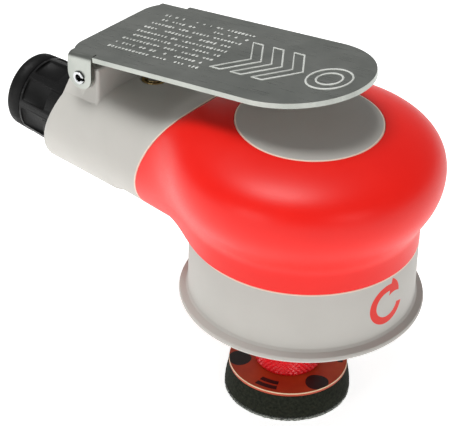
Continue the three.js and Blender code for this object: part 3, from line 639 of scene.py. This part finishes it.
def makeHousing(skin):
    s = shells
    dome = keep(copyOf(skin), disc(head["domeR"] - seam, 70, 100, 256))
    core = netSkin("core", body["gripWall"] + 0.1, bodyLow, bodyHigh, s["coreCell"])
    cut(core, belowGripLine(body["gripWall"] + 0.1))
    slant = math.tan(body["rearSlant"])
    rearTop = body["rearX"] + (s["bossTopZ"] - body["axisZ"]) * slant + 0.06
    bossFront, top, low = s["bossFrontX"], s["bossTopZ"], s["bossBottomZ"]
    side = [(bossFront, low), (bossFront, top), (rearTop, top), (rearTop - (top - low) * slant, low)]
    boss = pushThrough("boss", side, -s["bossHalfY"], s["bossHalfY"], lambda a, b, depth: (a, depth, b))
    soften(boss, s["bossEdge"], 40, 3)
    skirt = disc(head["skirtR"], head["skirtBottomZ"], head["gripLineZ"] + 1, 192)
    housing = cut(skin, seamCylinder(seam))
    add(housing, core, dome, skirt, boss)
    front, halfY, lowZ, highZ = s["muffler"]
    near, far, ductLowZ, ductHighZ = s["exhaust"]
    beadIn, beadOut, beadLowZ, beadHighZ = s["bead"]
    bead = [(beadIn, beadLowZ), (beadOut, beadLowZ), (beadOut, beadHighZ), (beadIn, beadHighZ)]
    cut(
        housing,
        disc(s["boreR"], 0, s["ceilingZ"], 128),
        disc(s["pocketR"], s["ceilingZ"] - 1, s["pocketZ"], 96),
        lathe("tool", bead, 128),
        *[barX(r, -120, end, body["inletZ"]) for r, end in s["inletBores"]],
        disc(s["stemBushR"], s["bushBottomZ"], 100, 64, (s["stemX"], 0)),
        disc(s["stemBoreR"], body["inletZ"], s["stemBoreTopZ"], 48, (s["stemX"], 0)),
        disc(s["regulatorR"] + s["holeFit"], 0, s["regulatorTopZ"], 64, (s["regulatorX"], 0)),
        block(-120, front, -halfY - 0.1, halfY + 0.1, lowZ - 0.1, highZ + 0.1),
        block(front - 1, 0, near, far, ductLowZ, ductHighZ),
        block(front - 1, 0, -far, -near, ductLowZ, ductHighZ),
        barY(s["pinR"] + 0.1, s["pivotX"], s["pivotZ"]),
    )
    housing.name = "housing_shell"
    return housing


def makeShroud():
    outline = rounded(
        [
            (26.55, 48.02, 0.25), (26.55, 34.6, 0.2), (22.7, 34.6, 0.3), (22.7, 33.0, 0.3), (26.7, 33.0, 0.3),
            (27.0, 31.85, 1.2), (29.2, 29.6, 0.15), (30.3, 29.6, 0.25), (30.5, 30.15, 0.3),
            (30.25, 30.85, 0.3), (28.75, 31.5, 0.25), (28.25, 32.2, 0.5), (28.25, 48.02, 0.3),
        ]
    )
    shroud = lathe("shroud_shell", outline, 224)
    return cut(shroud, handleBar(-0.06))


# A painted highlight: a pale line along the seam arc, round the dome and along the shroud's top, standing in
# for light caught on those edges
def seamHighlightMask(tree, x, y, z):
    width = shells["highlightLine"]
    fromArc = length(tree, calc(tree, "SUBTRACT", x, seamArc["x"]), calc(tree, "SUBTRACT", z, seamArc["z"]))
    r = length(tree, x, y)
    arc = both(tree, inRange(tree, fromArc, seamArc["r"], seamArc["r"] + width), inRange(tree, x, -60, 0))
    dome = both(tree, inRange(tree, r, head["domeR"] - width, head["domeR"] + 1), inRange(tree, z, 74, 90))
    return either(tree, arc, dome)


shroudMark = {
    "angle": math.radians(-5),
    "z": 40.2,
    "ringR": 4.6,
    "halfWidth": 1.0,
    "headHalf": 2.5,
    "gapFrom": math.radians(-15),
    "headFrom": math.radians(28),
    "headTo": math.radians(80),
    "r": 28.25,
    "colour": tint(222, 44, 32),
}


# A turning arrow on the shroud's wall: an open ring, and a head that narrows to a point in the opening
def arrowMask(tree, x, y, z):
    s = shroudMark
    across = calc(tree, "MULTIPLY", calc(tree, "SUBTRACT", calc(tree, "ARCTAN2", y, x), s["angle"]), s["r"])
    up = calc(tree, "SUBTRACT", z, s["z"])
    bearing = calc(tree, "ARCTAN2", up, across)
    off = calc(tree, "ABSOLUTE", calc(tree, "SUBTRACT", length(tree, across, up), s["ringR"]))
    opening = inRange(tree, bearing, s["gapFrom"], s["headTo"])
    ring = both(tree, calc(tree, "LESS_THAN", off, s["halfWidth"]), calc(tree, "SUBTRACT", 1.0, opening))
    pastPoint = calc(tree, "SUBTRACT", bearing, s["headFrom"])
    width = calc(tree, "MULTIPLY", pastPoint, s["headHalf"] / (s["headTo"] - s["headFrom"]))
    narrow = calc(tree, "LESS_THAN", off, width)
    point = both(tree, narrow, inRange(tree, bearing, s["headFrom"], s["headTo"]))
    return either(tree, ring, point)


# A band at the shroud's top edge, painted with the same pale highlight line
def shroudTopHighlightMask(tree, x, y, z):
    return inRange(tree, z, 47.62, 49)


skin = netSkin("skin", 0, bodyLow, bodyHigh, shells["cell"])
print("outer skin:", len(skin.data.polygons), "faces")

gripShell = shade(makeGrip(copyOf(skin)), 40)
finishPiece(gripShell, "housing", "red_overmould", materials["red_overmould"], "grip")
print("grip made")
# The housing's grey gets a painted highlight line along the seam arc and round the dome
housingFinish = paint(makeFinish("grey_nylon", "_housing"), seamHighlightMask, shells["highlightColour"])
finishPiece(shade(makeHousing(skin), 40), "housing", "grey_nylon", housingFinish, "housing")
print("housing made")
shroudFinish = makeFinish("grey_nylon", "_shroud")
paint(shroudFinish, arrowMask, shroudMark["colour"])
# paints a pale highlight line along the shroud's top edge
paint(shroudFinish, shroudTopHighlightMask, shells["highlightColour"])
finishPiece(shade(makeShroud(), 40), "housing", "grey_nylon", shroudFinish, "shroud")
print("shroud made")


lever = {
    "topZ": 91.2,  # the plate's top over the motor's axis
    "tilt": math.radians(9.5),
    "thickness": 1.3,
    "halfY": 18.0,
    "tipX": 15.0,
    "tipStart": -5.0,
    "backX": -65.0,
    "cornerR": 6.9,
    "earHalf": 3.95,
    "earBottomZ": 71.8,
    "bendR": 1.6,
    "relief": 0.5,
    "edge": 0.28,
}


# The lever's flat blank, with its ears unrolled past the bends
def leverBlank():
    s = lever
    cos, tan = math.cos(s["tilt"]), math.tan(s["tilt"])
    bend = s["halfY"] - s["bendR"]
    bendLength = s["bendR"] * math.pi / 2
    front = (shells["pivotX"] + s["earHalf"]) / cos
    back = (shells["pivotX"] - s["earHalf"]) / cos
    side = []
    for i in range(33):
        angle = math.pi / 2 * i / 32
        reach = s["tipX"] - s["tipStart"]
        side.append((s["tipStart"] + reach * math.cos(angle), s["halfY"] * math.sin(angle)))
    slotBottom = bend - 0.3
    side += [(front + s["relief"], s["halfY"]), (front + s["relief"], slotBottom), (front, slotBottom)]
    centreZ = s["earBottomZ"] + s["earHalf"]
    for i in range(25):
        angle = -math.pi * i / 24
        x = shells["pivotX"] + s["earHalf"] * math.cos(angle)
        drop = s["topZ"] + x * tan - (centreZ + s["earHalf"] * math.sin(angle))
        side.append((x / cos, bend + bendLength + drop - s["bendR"]))
    cornerX, cornerY = s["backX"] + s["cornerR"], s["halfY"] - s["cornerR"]
    first = math.acos((back - cornerX) / s["cornerR"])
    for i in range(13):
        angle = first + (math.pi - first) * i / 12
        side.append((cornerX + s["cornerR"] * math.cos(angle), cornerY + s["cornerR"] * math.sin(angle)))
    mirrored = [(u, -v) for u, v in side[1:]][::-1]
    return mirrored + side


def makeLever():
    s = lever
    cos, sin = math.cos(s["tilt"]), math.sin(s["tilt"])
    bend = s["halfY"] - s["bendR"]
    bendLength = s["bendR"] * math.pi / 2
    front = (shells["pivotX"] + s["earHalf"]) / cos + 0.2
    work = bmesh.new()
    work.faces.new([work.verts.new((u, v, 0)) for u, v in leverBlank()])
    for way in (-1, 1):
        for i in range(9):
            work.faces.ensure_lookup_table()
            geometry = list(work.verts) + list(work.edges) + list(work.faces)
            line = way * (bend + bendLength * i / 8)
            bmesh.ops.bisect_plane(work, geom=geometry, plane_co=(0, line, 0), plane_no=(0, way, 0))
    for vertex in work.verts:
        u, v, _ = vertex.co
        past = abs(v) - bend
        y, drop = v, 0.0
        if past > 0 and u < front:
            angle = min(past / s["bendR"], math.pi / 2)
            y = math.copysign(bend + s["bendR"] * math.sin(angle), v)
            drop = s["bendR"] * (1 - math.cos(angle)) + max(past - bendLength, 0)
        vertex.co = (u * cos * mm, y * mm, (s["topZ"] + u * sin - drop) * mm)
    bmesh.ops.recalc_face_normals(work, faces=work.faces)
    if sum(f.normal.z * f.calc_area() for f in work.faces) < 0:
        bmesh.ops.reverse_faces(work, faces=work.faces)
    piece = newPiece("lever_plate", [], [])
    work.to_mesh(piece.data)
    work.free()
    thicken = piece.modifiers.new("thickness", "SOLIDIFY")
    thicken.thickness = s["thickness"] * mm
    thicken.offset = -1
    thicken.use_even_offset = True
    bake(piece)
    cut(piece, barY(shells["pinR"] + 0.12, shells["pivotX"], shells["pivotZ"], 30, 40))
    return soften(piece, s["edge"], 50, 3)


slitPin = {"boreR": 0.95, "slitHalf": 0.38, "halfLength": 18.5, "edge": 0.12}


# A slit tube along Y, with chamfered ends
def makePin():
    s = slitPin
    outline = []
    for r, way in ((shells["pinR"], 1), (s["boreR"], -1)):
        start = math.asin(s["slitHalf"] / r)
        for i in range(41):
            angle = start + (2 * math.pi - 2 * start) * i / 40
            angle = angle if way > 0 else 2 * math.pi - angle
            outline.append((r * math.cos(angle), r * math.sin(angle)))
    x, z, reach = shells["pivotX"], shells["pivotZ"], s["halfLength"]
    pin = pushThrough("slit_pin", outline, -reach, reach, lambda a, b, depth: (x + a, depth, z + b))
    return soften(pin, s["edge"], 60, 2)


finishPiece(makeLever(), "lever", "lever_steel", materials["lever_steel"], "lever")
finishPiece(makePin(), "housing", "bright_steel", materials["bright_steel"], "lever_pin")
print("lever and pin made")


# A Geometry Nodes tree with named inputs, each a label, a socket kind and a first value
def newTree(name, inputs):
    tree = bpy.data.node_groups.new(name, "GeometryNodeTree")
    tree.interface.new_socket("Geometry", in_out="INPUT", socket_type="NodeSocketGeometry")
    for label, kind, value in inputs:
        socket = tree.interface.new_socket(label, in_out="INPUT", socket_type=kind)
        if value is not None:
            socket.default_value = value
    tree.interface.new_socket("Geometry", in_out="OUTPUT", socket_type="NodeSocketGeometry")
    given = tree.nodes.new("NodeGroupInput").outputs
    return tree, given


def addNode(tree, kind, settings=(), **sockets):
    made = tree.nodes.new(kind)
    for name, value in dict(settings).items():
        setattr(made, name, value)
    for name, value in sockets.items():
        link(tree, value, made.inputs[name.replace("_", " ")])
    return made


def closeTree(tree, given, geometry):
    real = addNode(tree, "GeometryNodeRealizeInstances")
    tree.links.new(geometry, real.inputs[0])
    coat = addNode(tree, "GeometryNodeSetMaterial")
    tree.links.new(real.outputs[0], coat.inputs["Geometry"])
    tree.links.new(given["Material"], coat.inputs["Material"])
    tree.links.new(coat.outputs[0], tree.nodes.new("NodeGroupOutput").inputs[0])


def runTree(piece, tree, values):
    modifier = piece.modifiers.new("nodes", "NODES")
    modifier.node_group = tree
    for item in tree.interface.items_tree:
        if item.in_out == "INPUT" and item.name in values:
            modifier[item.identifier] = values[item.name]
    return bake(piece)


# Rows of short raised dashes of uneven length, on a grid turned onto the tilted plate
def stampTree():
    tree, given = newTree(
        "stamped rows",
        [
            ("Rows", "NodeSocketInt", 8), ("Dashes", "NodeSocketInt", 26),
            ("Row Pitch", "NodeSocketFloat", 2.5 * mm),
            ("Dash Pitch", "NodeSocketFloat", 1.1 * mm), ("Height", "NodeSocketFloat", 0.1 * mm),
            ("Seed", "NodeSocketInt", 4), ("Place", "NodeSocketVector", None),
            ("Tilt", "NodeSocketVector", None),
            ("Material", "NodeSocketMaterial", None),
        ],
    )
    across = calc(tree, "MULTIPLY", given["Dashes"], given["Dash Pitch"])
    depth = calc(tree, "MULTIPLY", given["Rows"], given["Row Pitch"])
    grid = addNode(
        tree, "GeometryNodeMeshGrid", Size_X=across, Size_Y=depth, Vertices_X=given["Dashes"],
        Vertices_Y=given["Rows"],
    )
    kind, seed = "FunctionNodeRandomValue", given["Seed"]
    chance = addNode(tree, kind, {"data_type": "BOOLEAN"}, Probability=0.8, Seed=seed)
    size = addNode(tree, kind, {"data_type": "FLOAT_VECTOR"}, Seed=seed)
    size.inputs["Min"].default_value = (0.45, 0.4, 1.0)
    size.inputs["Max"].default_value = (1.0, 1.0, 1.0)
    dash = addNode(tree, "GeometryNodeMeshUVSphere", Segments=8, Rings=5, Radius=0.5)
    shape = addNode(tree, "ShaderNodeCombineXYZ", X=calc(tree, "MULTIPLY", given["Dash Pitch"], 0.95))
    link(tree, calc(tree, "MULTIPLY", given["Row Pitch"], 0.6), shape.inputs["Y"])
    link(tree, calc(tree, "MULTIPLY", given["Height"], 2.0), shape.inputs["Z"])
    flat = addNode(tree, "GeometryNodeTransform", Geometry=dash.outputs["Mesh"], Scale=shape.outputs[0])
    rows = addNode(
        tree, "GeometryNodeInstanceOnPoints", Points=grid.outputs["Mesh"], Instance=flat.outputs[0],
        Selection=[o for o in chance.outputs if o.type == "BOOLEAN"][0],
        Scale=[o for o in size.outputs if o.type == "VECTOR"][0],
    )
    turned = addNode(
        tree, "GeometryNodeTransform", Geometry=rows.outputs[0], Translation=given["Place"],
        Rotation=given["Tilt"],
    )
    closeTree(tree, given, turned.outputs[0])
    return tree


# A staggered net of four-sided points round an upright cylinder, added to the piece it is put on
def knurlTree():
    tree, given = newTree(
        "knurl",
        [
            ("Columns", "NodeSocketInt", 36), ("Rows", "NodeSocketInt", 14),
            ("Radius", "NodeSocketFloat", 8 * mm),
            ("Bottom", "NodeSocketFloat", 0.0), ("Top", "NodeSocketFloat", 0.01),
            ("Depth", "NodeSocketFloat", 0.5 * mm),
            ("Centre", "NodeSocketVector", None), ("Material", "NodeSocketMaterial", None),
        ],
    )
    total = calc(tree, "MULTIPLY", given["Columns"], given["Rows"])
    points = addNode(tree, "GeometryNodePoints", Count=total)
    index = tree.nodes.new("GeometryNodeInputIndex").outputs[0]
    row = calc(tree, "FLOOR", calc(tree, "DIVIDE", calc(tree, "ADD", index, 0.5), given["Columns"]))
    column = calc(tree, "ADD", index, calc(tree, "MULTIPLY", calc(tree, "MODULO", row, 2.0), 0.5))
    angle = calc(tree, "MULTIPLY", calc(tree, "DIVIDE", column, given["Columns"]), 2 * math.pi)
    rise = calc(tree, "DIVIDE", calc(tree, "SUBTRACT", given["Top"], given["Bottom"]), given["Rows"])
    z = calc(tree, "ADD", given["Bottom"], calc(tree, "MULTIPLY", calc(tree, "ADD", row, 0.5), rise))
    place = addNode(
        tree, "ShaderNodeCombineXYZ", X=calc(tree, "MULTIPLY", given["Radius"], calc(tree, "COSINE", angle)),
        Y=calc(tree, "MULTIPLY", given["Radius"], calc(tree, "SINE", angle)), Z=z,
    )
    moved = addNode(tree, "GeometryNodeSetPosition", Geometry=points.outputs[0], Position=place.outputs[0])
    tilt = addNode(tree, "ShaderNodeCombineXYZ", Y=math.pi / 2, Z=angle)
    cone = addNode(tree, "GeometryNodeMeshCone", Vertices=4, Radius_Top=0.0, Radius_Bottom=1.0, Depth=1.0)
    width = calc(tree, "MULTIPLY", calc(tree, "DIVIDE", given["Radius"], given["Columns"]), math.pi * 1.02)
    height = calc(tree, "MULTIPLY", rise, 1.02)
    shape = addNode(tree, "ShaderNodeCombineXYZ", X=height, Y=width, Z=given["Depth"])
    knob = addNode(
        tree, "GeometryNodeInstanceOnPoints", Points=moved.outputs[0], Instance=cone.outputs["Mesh"],
    )
    link(tree, tilt.outputs[0], knob.inputs["Rotation"])
    link(tree, shape.outputs[0], knob.inputs["Scale"])
    shifted = addNode(tree, "GeometryNodeTransform", Geometry=knob.outputs[0], Translation=given["Centre"])
    whole = addNode(tree, "GeometryNodeJoinGeometry")
    tree.links.new(shifted.outputs[0], whole.inputs[0])
    tree.links.new(given["Geometry"], whole.inputs[0])
    closeTree(tree, given, whole.outputs[0])
    return tree


stamps = {
    "rows": {
        "x": -42.0, "y": 0.5, "Rows": 9, "Dashes": 26, "Row Pitch": 2.35 * mm, "Dash Pitch": 1.12 * mm,
    },
    "chevronX": (-25.0, -18.5, -12.0),
    "chevronHalf": 8.0,
    "chevronReach": 6.0,
    "chevronWidth": 3.2,
    "ringX": 5.2,
    "ringR": (5.6, 3.2),
    "lineR": 0.3,
}


def onPlate(u, v, lift=0.0):
    cos, sin = math.cos(lever["tilt"]), math.sin(lever["tilt"])
    return ((u * cos - lift * sin), v, lever["topZ"] + u * sin + lift * cos)


# A raised line round closed points on the plate, half sunk into it
def stampedLine(points):
    r = stamps["lineR"]
    spine = bpy.data.curves.new("line", "CURVE")
    spine.dimensions = "3D"
    spine.bevel_depth = r * mm
    spine.bevel_resolution = 2
    spine.use_fill_caps = True
    line = spine.splines.new("POLY")
    line.points.add(len(points) - 1)
    for target, (u, v) in zip(line.points, points):
        target.co = (*[c * mm for c in onPlate(u, v, -0.08)], 1)
    line.use_cyclic_u = True
    carrier = bpy.data.objects.new("line", spine)
    bpy.context.scene.collection.objects.link(carrier)
    bpy.context.view_layer.update()
    mesh = bpy.data.meshes.new_from_object(carrier.evaluated_get(bpy.context.evaluated_depsgraph_get()))
    bpy.data.objects.remove(carrier)
    return mesh


def joinMeshes(name, meshes):
    work = bmesh.new()
    for mesh in meshes:
        work.from_mesh(mesh)
    bmesh.ops.recalc_face_normals(work, faces=work.faces)
    piece = newPiece(name, [], [])
    work.to_mesh(piece.data)
    work.free()
    return piece


def makeStamps():
    s = stamps
    rows = newPiece("stamped_rows", [], [])
    values = {k: v for k, v in s["rows"].items() if k not in ("x", "y")}
    values["Height"] = 0.14 * mm
    values["Place"] = [c * mm for c in onPlate(s["rows"]["x"], s["rows"]["y"])]
    values["Tilt"] = (0.0, -lever["tilt"], 0.0)
    # the stamped rows take the pale painted-highlight finish
    values["Material"] = materials["stamp_highlight"]
    runTree(rows, stampTree(), values)
    lines = []
    for x in s["chevronX"]:
        half, reach, width = s["chevronHalf"], s["chevronReach"], s["chevronWidth"]
        far = x + width
        lines.append([(x, half), (x + reach, 0), (x, -half), (far, -half), (far + reach, 0), (far, half)])
    for r in s["ringR"]:
        turns = np.linspace(0, 2 * math.pi, 49)[:-1]
        lines.append([(s["ringX"] + r * math.cos(t), r * math.sin(t)) for t in turns])
    return rows, joinMeshes("stamped_signs", [stampedLine(points) for points in lines])


rows, signs = makeStamps()
# Both stamp pieces take the pale finish, a painted highlight over the raised marks
for piece in (rows, signs):
    piece.data.materials.clear()
    piece.data.materials.append(materials["stamp_highlight"])
    shade(piece, 60)
    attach(piece, "lever")
print("stamped marks:", len(rows.data.polygons) + len(signs.data.polygons), "faces")


inlet = {
    "z": 50.2,
    "endX": -93.6,
    "shoulderX": -69.5,
    "tipX": -62.5,
    "rimR": 10.1,
    "rootR": 11.4,
    "band": 4.6,
    "pockets": 8,
    "pocketDepth": 0.9,
    "threadPitch": 1.34,
}


def makeBushing():
    s = inlet
    outer = [(7.3, s["endX"]), (s["rimR"], s["endX"], 0.9), (s["rootR"], s["shoulderX"], 0.2)]
    shank = [(9.0, s["shoulderX"]), (9.0, -65.9), (7.2, -65.9), (7.2, -64.0), (9.0, -64.0)]
    shank += [(9.0, s["tipX"], 0.4), (6.2, s["tipX"]), (6.2, -67.5)]
    throat = [(4.5, -67.5), (4.5, -77.0), (5.7, -77.0), (5.7, -78.6), (6.6, -78.6)]
    thread = []
    x = -79.2
    while x > s["endX"] + 2.2:
        thread += [(6.6, x), (7.0, x - 0.5 * s["threadPitch"])]
        x -= s["threadPitch"]
    outline = rounded(outer + shank + throat + thread + [(6.6, x), (6.6, s["endX"] + 0.7)])
    piece = layAlong(lathe("inlet_fitting", outline, 128), "X", 0, s["z"])
    rimX = s["endX"] + s["band"]
    slope = (s["rootR"] - s["rimR"]) / (s["shoulderX"] - s["endX"])
    groove = lathe("tool", [(9.9, rimX), (12, rimX), (12, rimX + 0.35), (9.9, rimX + 0.35)], 96)
    cut(piece, layAlong(groove, "X", 0, s["z"]))
    floorR = s["rimR"] + slope * s["band"] - s["pocketDepth"]
    for i in range(s["pockets"]):
        turn = 2 * math.pi * (i + 0.25) / s["pockets"]
        pocket = block(rimX + 1.1, rimX + 9.6, -3.1, 3.1, floorR, floorR + 4)
        soften(pocket, 0.55, 40, 2)
        pocket.data.transform(Matrix.Translation((0, 0, s["z"] * mm)) @ Matrix.Rotation(turn, 4, "X"))
        cut(piece, pocket)
    return piece


bushing = makeBushing()
finishPiece(shade(bushing, 34), "housing", "black_plastic", materials["black_plastic"], "inlet_bushing")
print("inlet made")


# Pad, hub and disc stand about the orbiting axis, which is off the motor's own
pad = {
    "orbitR": 2.38,
    "orbitAngle": math.radians(220),
    "hubR": 8.15,
    "hubTopZ": 20.2,
    "plateR": 15.1,
    "plateTopZ": 8.25,
    "foamR": 16.0,
    "abrasiveT": 0.82,
    "edgeLine": 0.1,
    "markR": 12.3,
    "markStart": math.radians(285),
    "markTurn": math.radians(60),
    "blobR": 2.95,
    "barHalf": 2.6,
    "edgeColour": tint(232, 206, 168),
    "markColour": tint(24, 16, 14),
}
orbit = (pad["orbitR"] * math.cos(pad["orbitAngle"]), pad["orbitR"] * math.sin(pad["orbitAngle"]))


def makeHub():
    s = pad
    r, top, low = s["hubR"], s["hubTopZ"], s["plateTopZ"] + 0.03
    outline = rounded(
        [
            (0, 5.1), (2.6, 5.1, 0.3), (2.6, low), (r, low, 0.4), (r, top, 0.5), (4.3, top, 0.3),
            (4.3, 10.2), (0, 10.2),
        ],
        closed=False,
    )
    hub = lathe("knurled_hub", outline, 120, orbit)
    values = {
        "Columns": 40, "Rows": 15, "Radius": r * mm, "Bottom": (low + 0.5) * mm, "Top": (top - 0.6) * mm,
        "Depth": 0.48 * mm, "Centre": (orbit[0] * mm, orbit[1] * mm, 0.0), "Material": materials["red_hub"],
    }
    return runTree(hub, knurlTree(), values)


def makePlate():
    s = pad
    low, high, r = s["plateTopZ"] - 1.0, s["plateTopZ"], s["plateR"]
    outline = rounded([(2.7, low), (r, low, 0.2), (r, high, 0.25), (2.7, high)])
    return lathe("pad_disc", outline, 144, orbit)


# Moves the outer rim's points in and out at random, as a torn or open-cell edge
def roughen(piece, amount, seed):
    draw = np.random.default_rng(seed)
    for vertex in piece.data.vertices:
        x, y = vertex.co.x / mm - orbit[0], vertex.co.y / mm - orbit[1]
        r = math.hypot(x, y)
        if r > 15.0:
            scale = 1 + draw.uniform(-amount, amount) / r
            vertex.co.x = (orbit[0] + x * scale) * mm
            vertex.co.y = (orbit[1] + y * scale) * mm
    return piece


def makeFoam():
    s = pad
    low, high = s["abrasiveT"] + 0.04, s["plateTopZ"] - 1.03
    outline = [(0, low), (15.4, low), (15.85, low + 0.25)]
    for i in range(13):
        t = i / 12
        r = s["foamR"] - 0.05 - (s["foamR"] - s["plateR"]) * t**1.5
        outline.append((r, low + 0.6 + (high - low - 0.6) * t))
    outline += [(2.75, high), (2.75, 4.9), (0, 4.9)]
    foam = lathe("foam_body", outline, 160, orbit)
    return roughen(foam, 0.07, 3)


def makeAbrasive():
    s = pad
    top = s["abrasiveT"]
    outline = [(0, 0), (15.3, 0), (15.85, 0.08), (16.0, 0.3), (16.05, 0.55), (15.9, top), (0, top)]
    return roughen(lathe("abrasive_sheet", outline, 240, orbit), 0.13, 9)


# Plain dark marks printed round the disc, a round and a pair of bars in turn
def padMarks(tree, x, y, z):
    s = pad
    across, along = calc(tree, "SUBTRACT", x, orbit[0]), calc(tree, "SUBTRACT", y, orbit[1])
    r = length(tree, across, along)
    angle = calc(tree, "ADD", calc(tree, "ARCTAN2", along, across), s["markStart"])
    turn = s["markTurn"]
    local = calc(tree, "SUBTRACT", calc(tree, "MODULO", angle, turn), turn / 2)
    arc = calc(tree, "MULTIPLY", local, s["markR"])
    out = calc(tree, "SUBTRACT", r, s["markR"])
    blob = calc(tree, "LESS_THAN", length(tree, arc, out), s["blobR"])
    wide = calc(tree, "LESS_THAN", calc(tree, "ABSOLUTE", arc), s["barHalf"])
    bars = both(tree, wide, either(tree, inRange(tree, out, 0.3, 1.7), inRange(tree, out, -1.7, -0.3)))
    odd = calc(tree, "GREATER_THAN", calc(tree, "MODULO", angle, 2 * turn), turn)
    top = calc(tree, "GREATER_THAN", z, s["plateTopZ"] - 0.1)
    shape = either(tree, both(tree, bars, odd), both(tree, blob, calc(tree, "SUBTRACT", 1.0, odd)))
    return both(tree, shape, top)


def padEdge(tree, x, y, z):
    across, along = calc(tree, "SUBTRACT", x, orbit[0]), calc(tree, "SUBTRACT", y, orbit[1])
    rim = calc(tree, "GREATER_THAN", length(tree, across, along), pad["plateR"] - pad["edgeLine"])
    return both(tree, rim, calc(tree, "GREATER_THAN", z, pad["plateTopZ"] - 0.35))


finishPiece(shade(makeHub(), 30), "pad_spindle", "red_hub", materials["red_hub"], "pad_hub")
plateFinish = paint(makeFinish("pad_plate", "_printed"), padMarks, pad["markColour"])
paint(plateFinish, padEdge, pad["edgeColour"])
finishPiece(shade(makePlate(), 40), "pad_spindle", "pad_plate", plateFinish, "pad_plate")
finishPiece(shade(makeFoam(), 50), "pad_spindle", "pad_foam", materials["pad_foam"], "pad_foam")
finishPiece(shade(makeAbrasive(), 50), "pad_spindle", "abrasive", materials["abrasive"], "abrasive_disc")
print("pad made")


# Pieces that keep the frame's own shape, by finish
nodeFinishes = {
    "black_plastic": ["speed_regulator", "muffler_cover"],
    "black_rubber": ["inlet_ring", "valve_seat", "stem_ring", "regulator_ring", "motor_ring"],
    "bright_steel": [
        "valve_spring", "valve_stem", "regulator_clip", "locating_pin", "rotor_key", "dust_shield",
    ],
    "dark_steel": ["rotor", "shaft_balancer", "spindle", "spindle_clip"],
    "aluminium": ["rear_end_plate", "cylinder", "front_end_plate", "lock_ring"],
    "brass": ["inlet_screen", "tip_valve", "stem_bush"],
    "vane_resin": [f"vane_{i}" for i in range(1, 6)],
    "felt": ["muffler"],
    "bearing_steel": [
        f"{place}_bearing_{part}" for place in ("rear", "front", "spindle")
        for part in ("outer_ring", "ball_cage", "inner_ring")
    ],
}

for finish, names in nodeFinishes.items():
    for name in names:
        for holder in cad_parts[name].material_slots:
            holder.material = materials[finish]
print("frame pieces finished")


# Places, lamp sizes and the camera's distance are in metres here
studio = {
    "floor": tint(252, 252, 251),
    "floorGlow": 0.72,
    "horizon": 0.95,  # the world's light low down, overhead, and the heights where one turns into the other
    "overhead": 0.22,
    "turnFrom": 0.05,
    "turnTo": 0.17,
    "lamps": {
        "top": {"place": (-0.16, -0.12, 1.05), "power": 7.0, "size": 0.4},
        "left": {"place": (-0.07, -0.98, 0.26), "power": 1.5, "size": 0.3},
        "right": {"place": (0.87, -0.23, 0.46), "power": 0.9, "size": 0.26},
    },
    "lens": 170.6,
    "aim": (-0.016638, -0.009925, 0.049663),
    "distance": 0.5277,
    "azimuth": math.radians(40),
    "elevation": math.radians(33.55),
    "roll": math.radians(1.61),
}


def makeWorld():
    s = studio
    world = bpy.data.worlds.new("studio")
    bpy.context.scene.world = world
    world.use_nodes = True
    tree = world.node_tree
    split = tree.nodes.new("ShaderNodeSeparateXYZ")
    tree.links.new(tree.nodes.new("ShaderNodeTexCoord").outputs["Generated"], split.inputs[0])
    level = spread(tree, split.outputs[2], s["horizon"], s["overhead"], s["turnFrom"], s["turnTo"])
    tree.links.new(level, tree.nodes["Background"].inputs["Strength"])
    tree.nodes["Background"].inputs["Color"].default_value = (1, 1, 1, 1)


def makeStudio():
    s = studio
    reach = 3000
    corners = [(-reach, -reach, 0), (reach, -reach, 0), (reach, reach, 0), (-reach, reach, 0)]
    floor = newPiece("floor", corners, [(0, 1, 2, 3)])
    paper = bpy.data.materials.new("paper")
    paper.use_nodes = True
    shader = paper.node_tree.nodes["Principled BSDF"]
    shader.inputs["Base Color"].default_value = s["floor"]
    shader.inputs["Roughness"].default_value = 0.9
    shader.inputs["Emission Color"].default_value = (1, 1, 1, 1)
    shader.inputs["Emission Strength"].default_value = s["floorGlow"]
    floor.data.materials.append(paper)
    makeWorld()
    for name, setting in s["lamps"].items():
        lamp = bpy.data.lights.new(name, "AREA")
        lamp.energy = setting["power"]
        lamp.size = setting["size"]
        holder = bpy.data.objects.new(name, lamp)
        holder.location = setting["place"]
        holder.rotation_euler = (Vector(s["aim"]) - holder.location).to_track_quat("-Z", "Y").to_euler()
        bpy.context.scene.collection.objects.link(holder)
    bpy.context.scene.view_settings.view_transform = "Standard"


def makeCamera():
    s = studio
    a, e, roll = s["azimuth"], s["elevation"], s["roll"]
    back = Vector((math.sin(a) * math.cos(e), -math.cos(a) * math.cos(e), math.sin(e)))
    right = Vector((math.cos(a), math.sin(a), 0))
    up = back.cross(right)
    across = right * math.cos(roll) + up * math.sin(roll)
    above = up * math.cos(roll) - right * math.sin(roll)
    lensData = bpy.data.cameras.new("camera")
    lensData.lens = s["lens"]
    lensData.sensor_width = 36
    lensData.clip_start = 0.01
    camera = bpy.data.objects.new("camera", lensData)
    place = Vector(s["aim"]) + back * s["distance"]
    turn = Matrix((across, above, back)).transposed().to_4x4()
    camera.matrix_world = Matrix.Translation(place) @ turn
    bpy.context.scene.collection.objects.link(camera)
    bpy.context.scene.camera = camera


makeStudio()
makeCamera()
print("studio made")
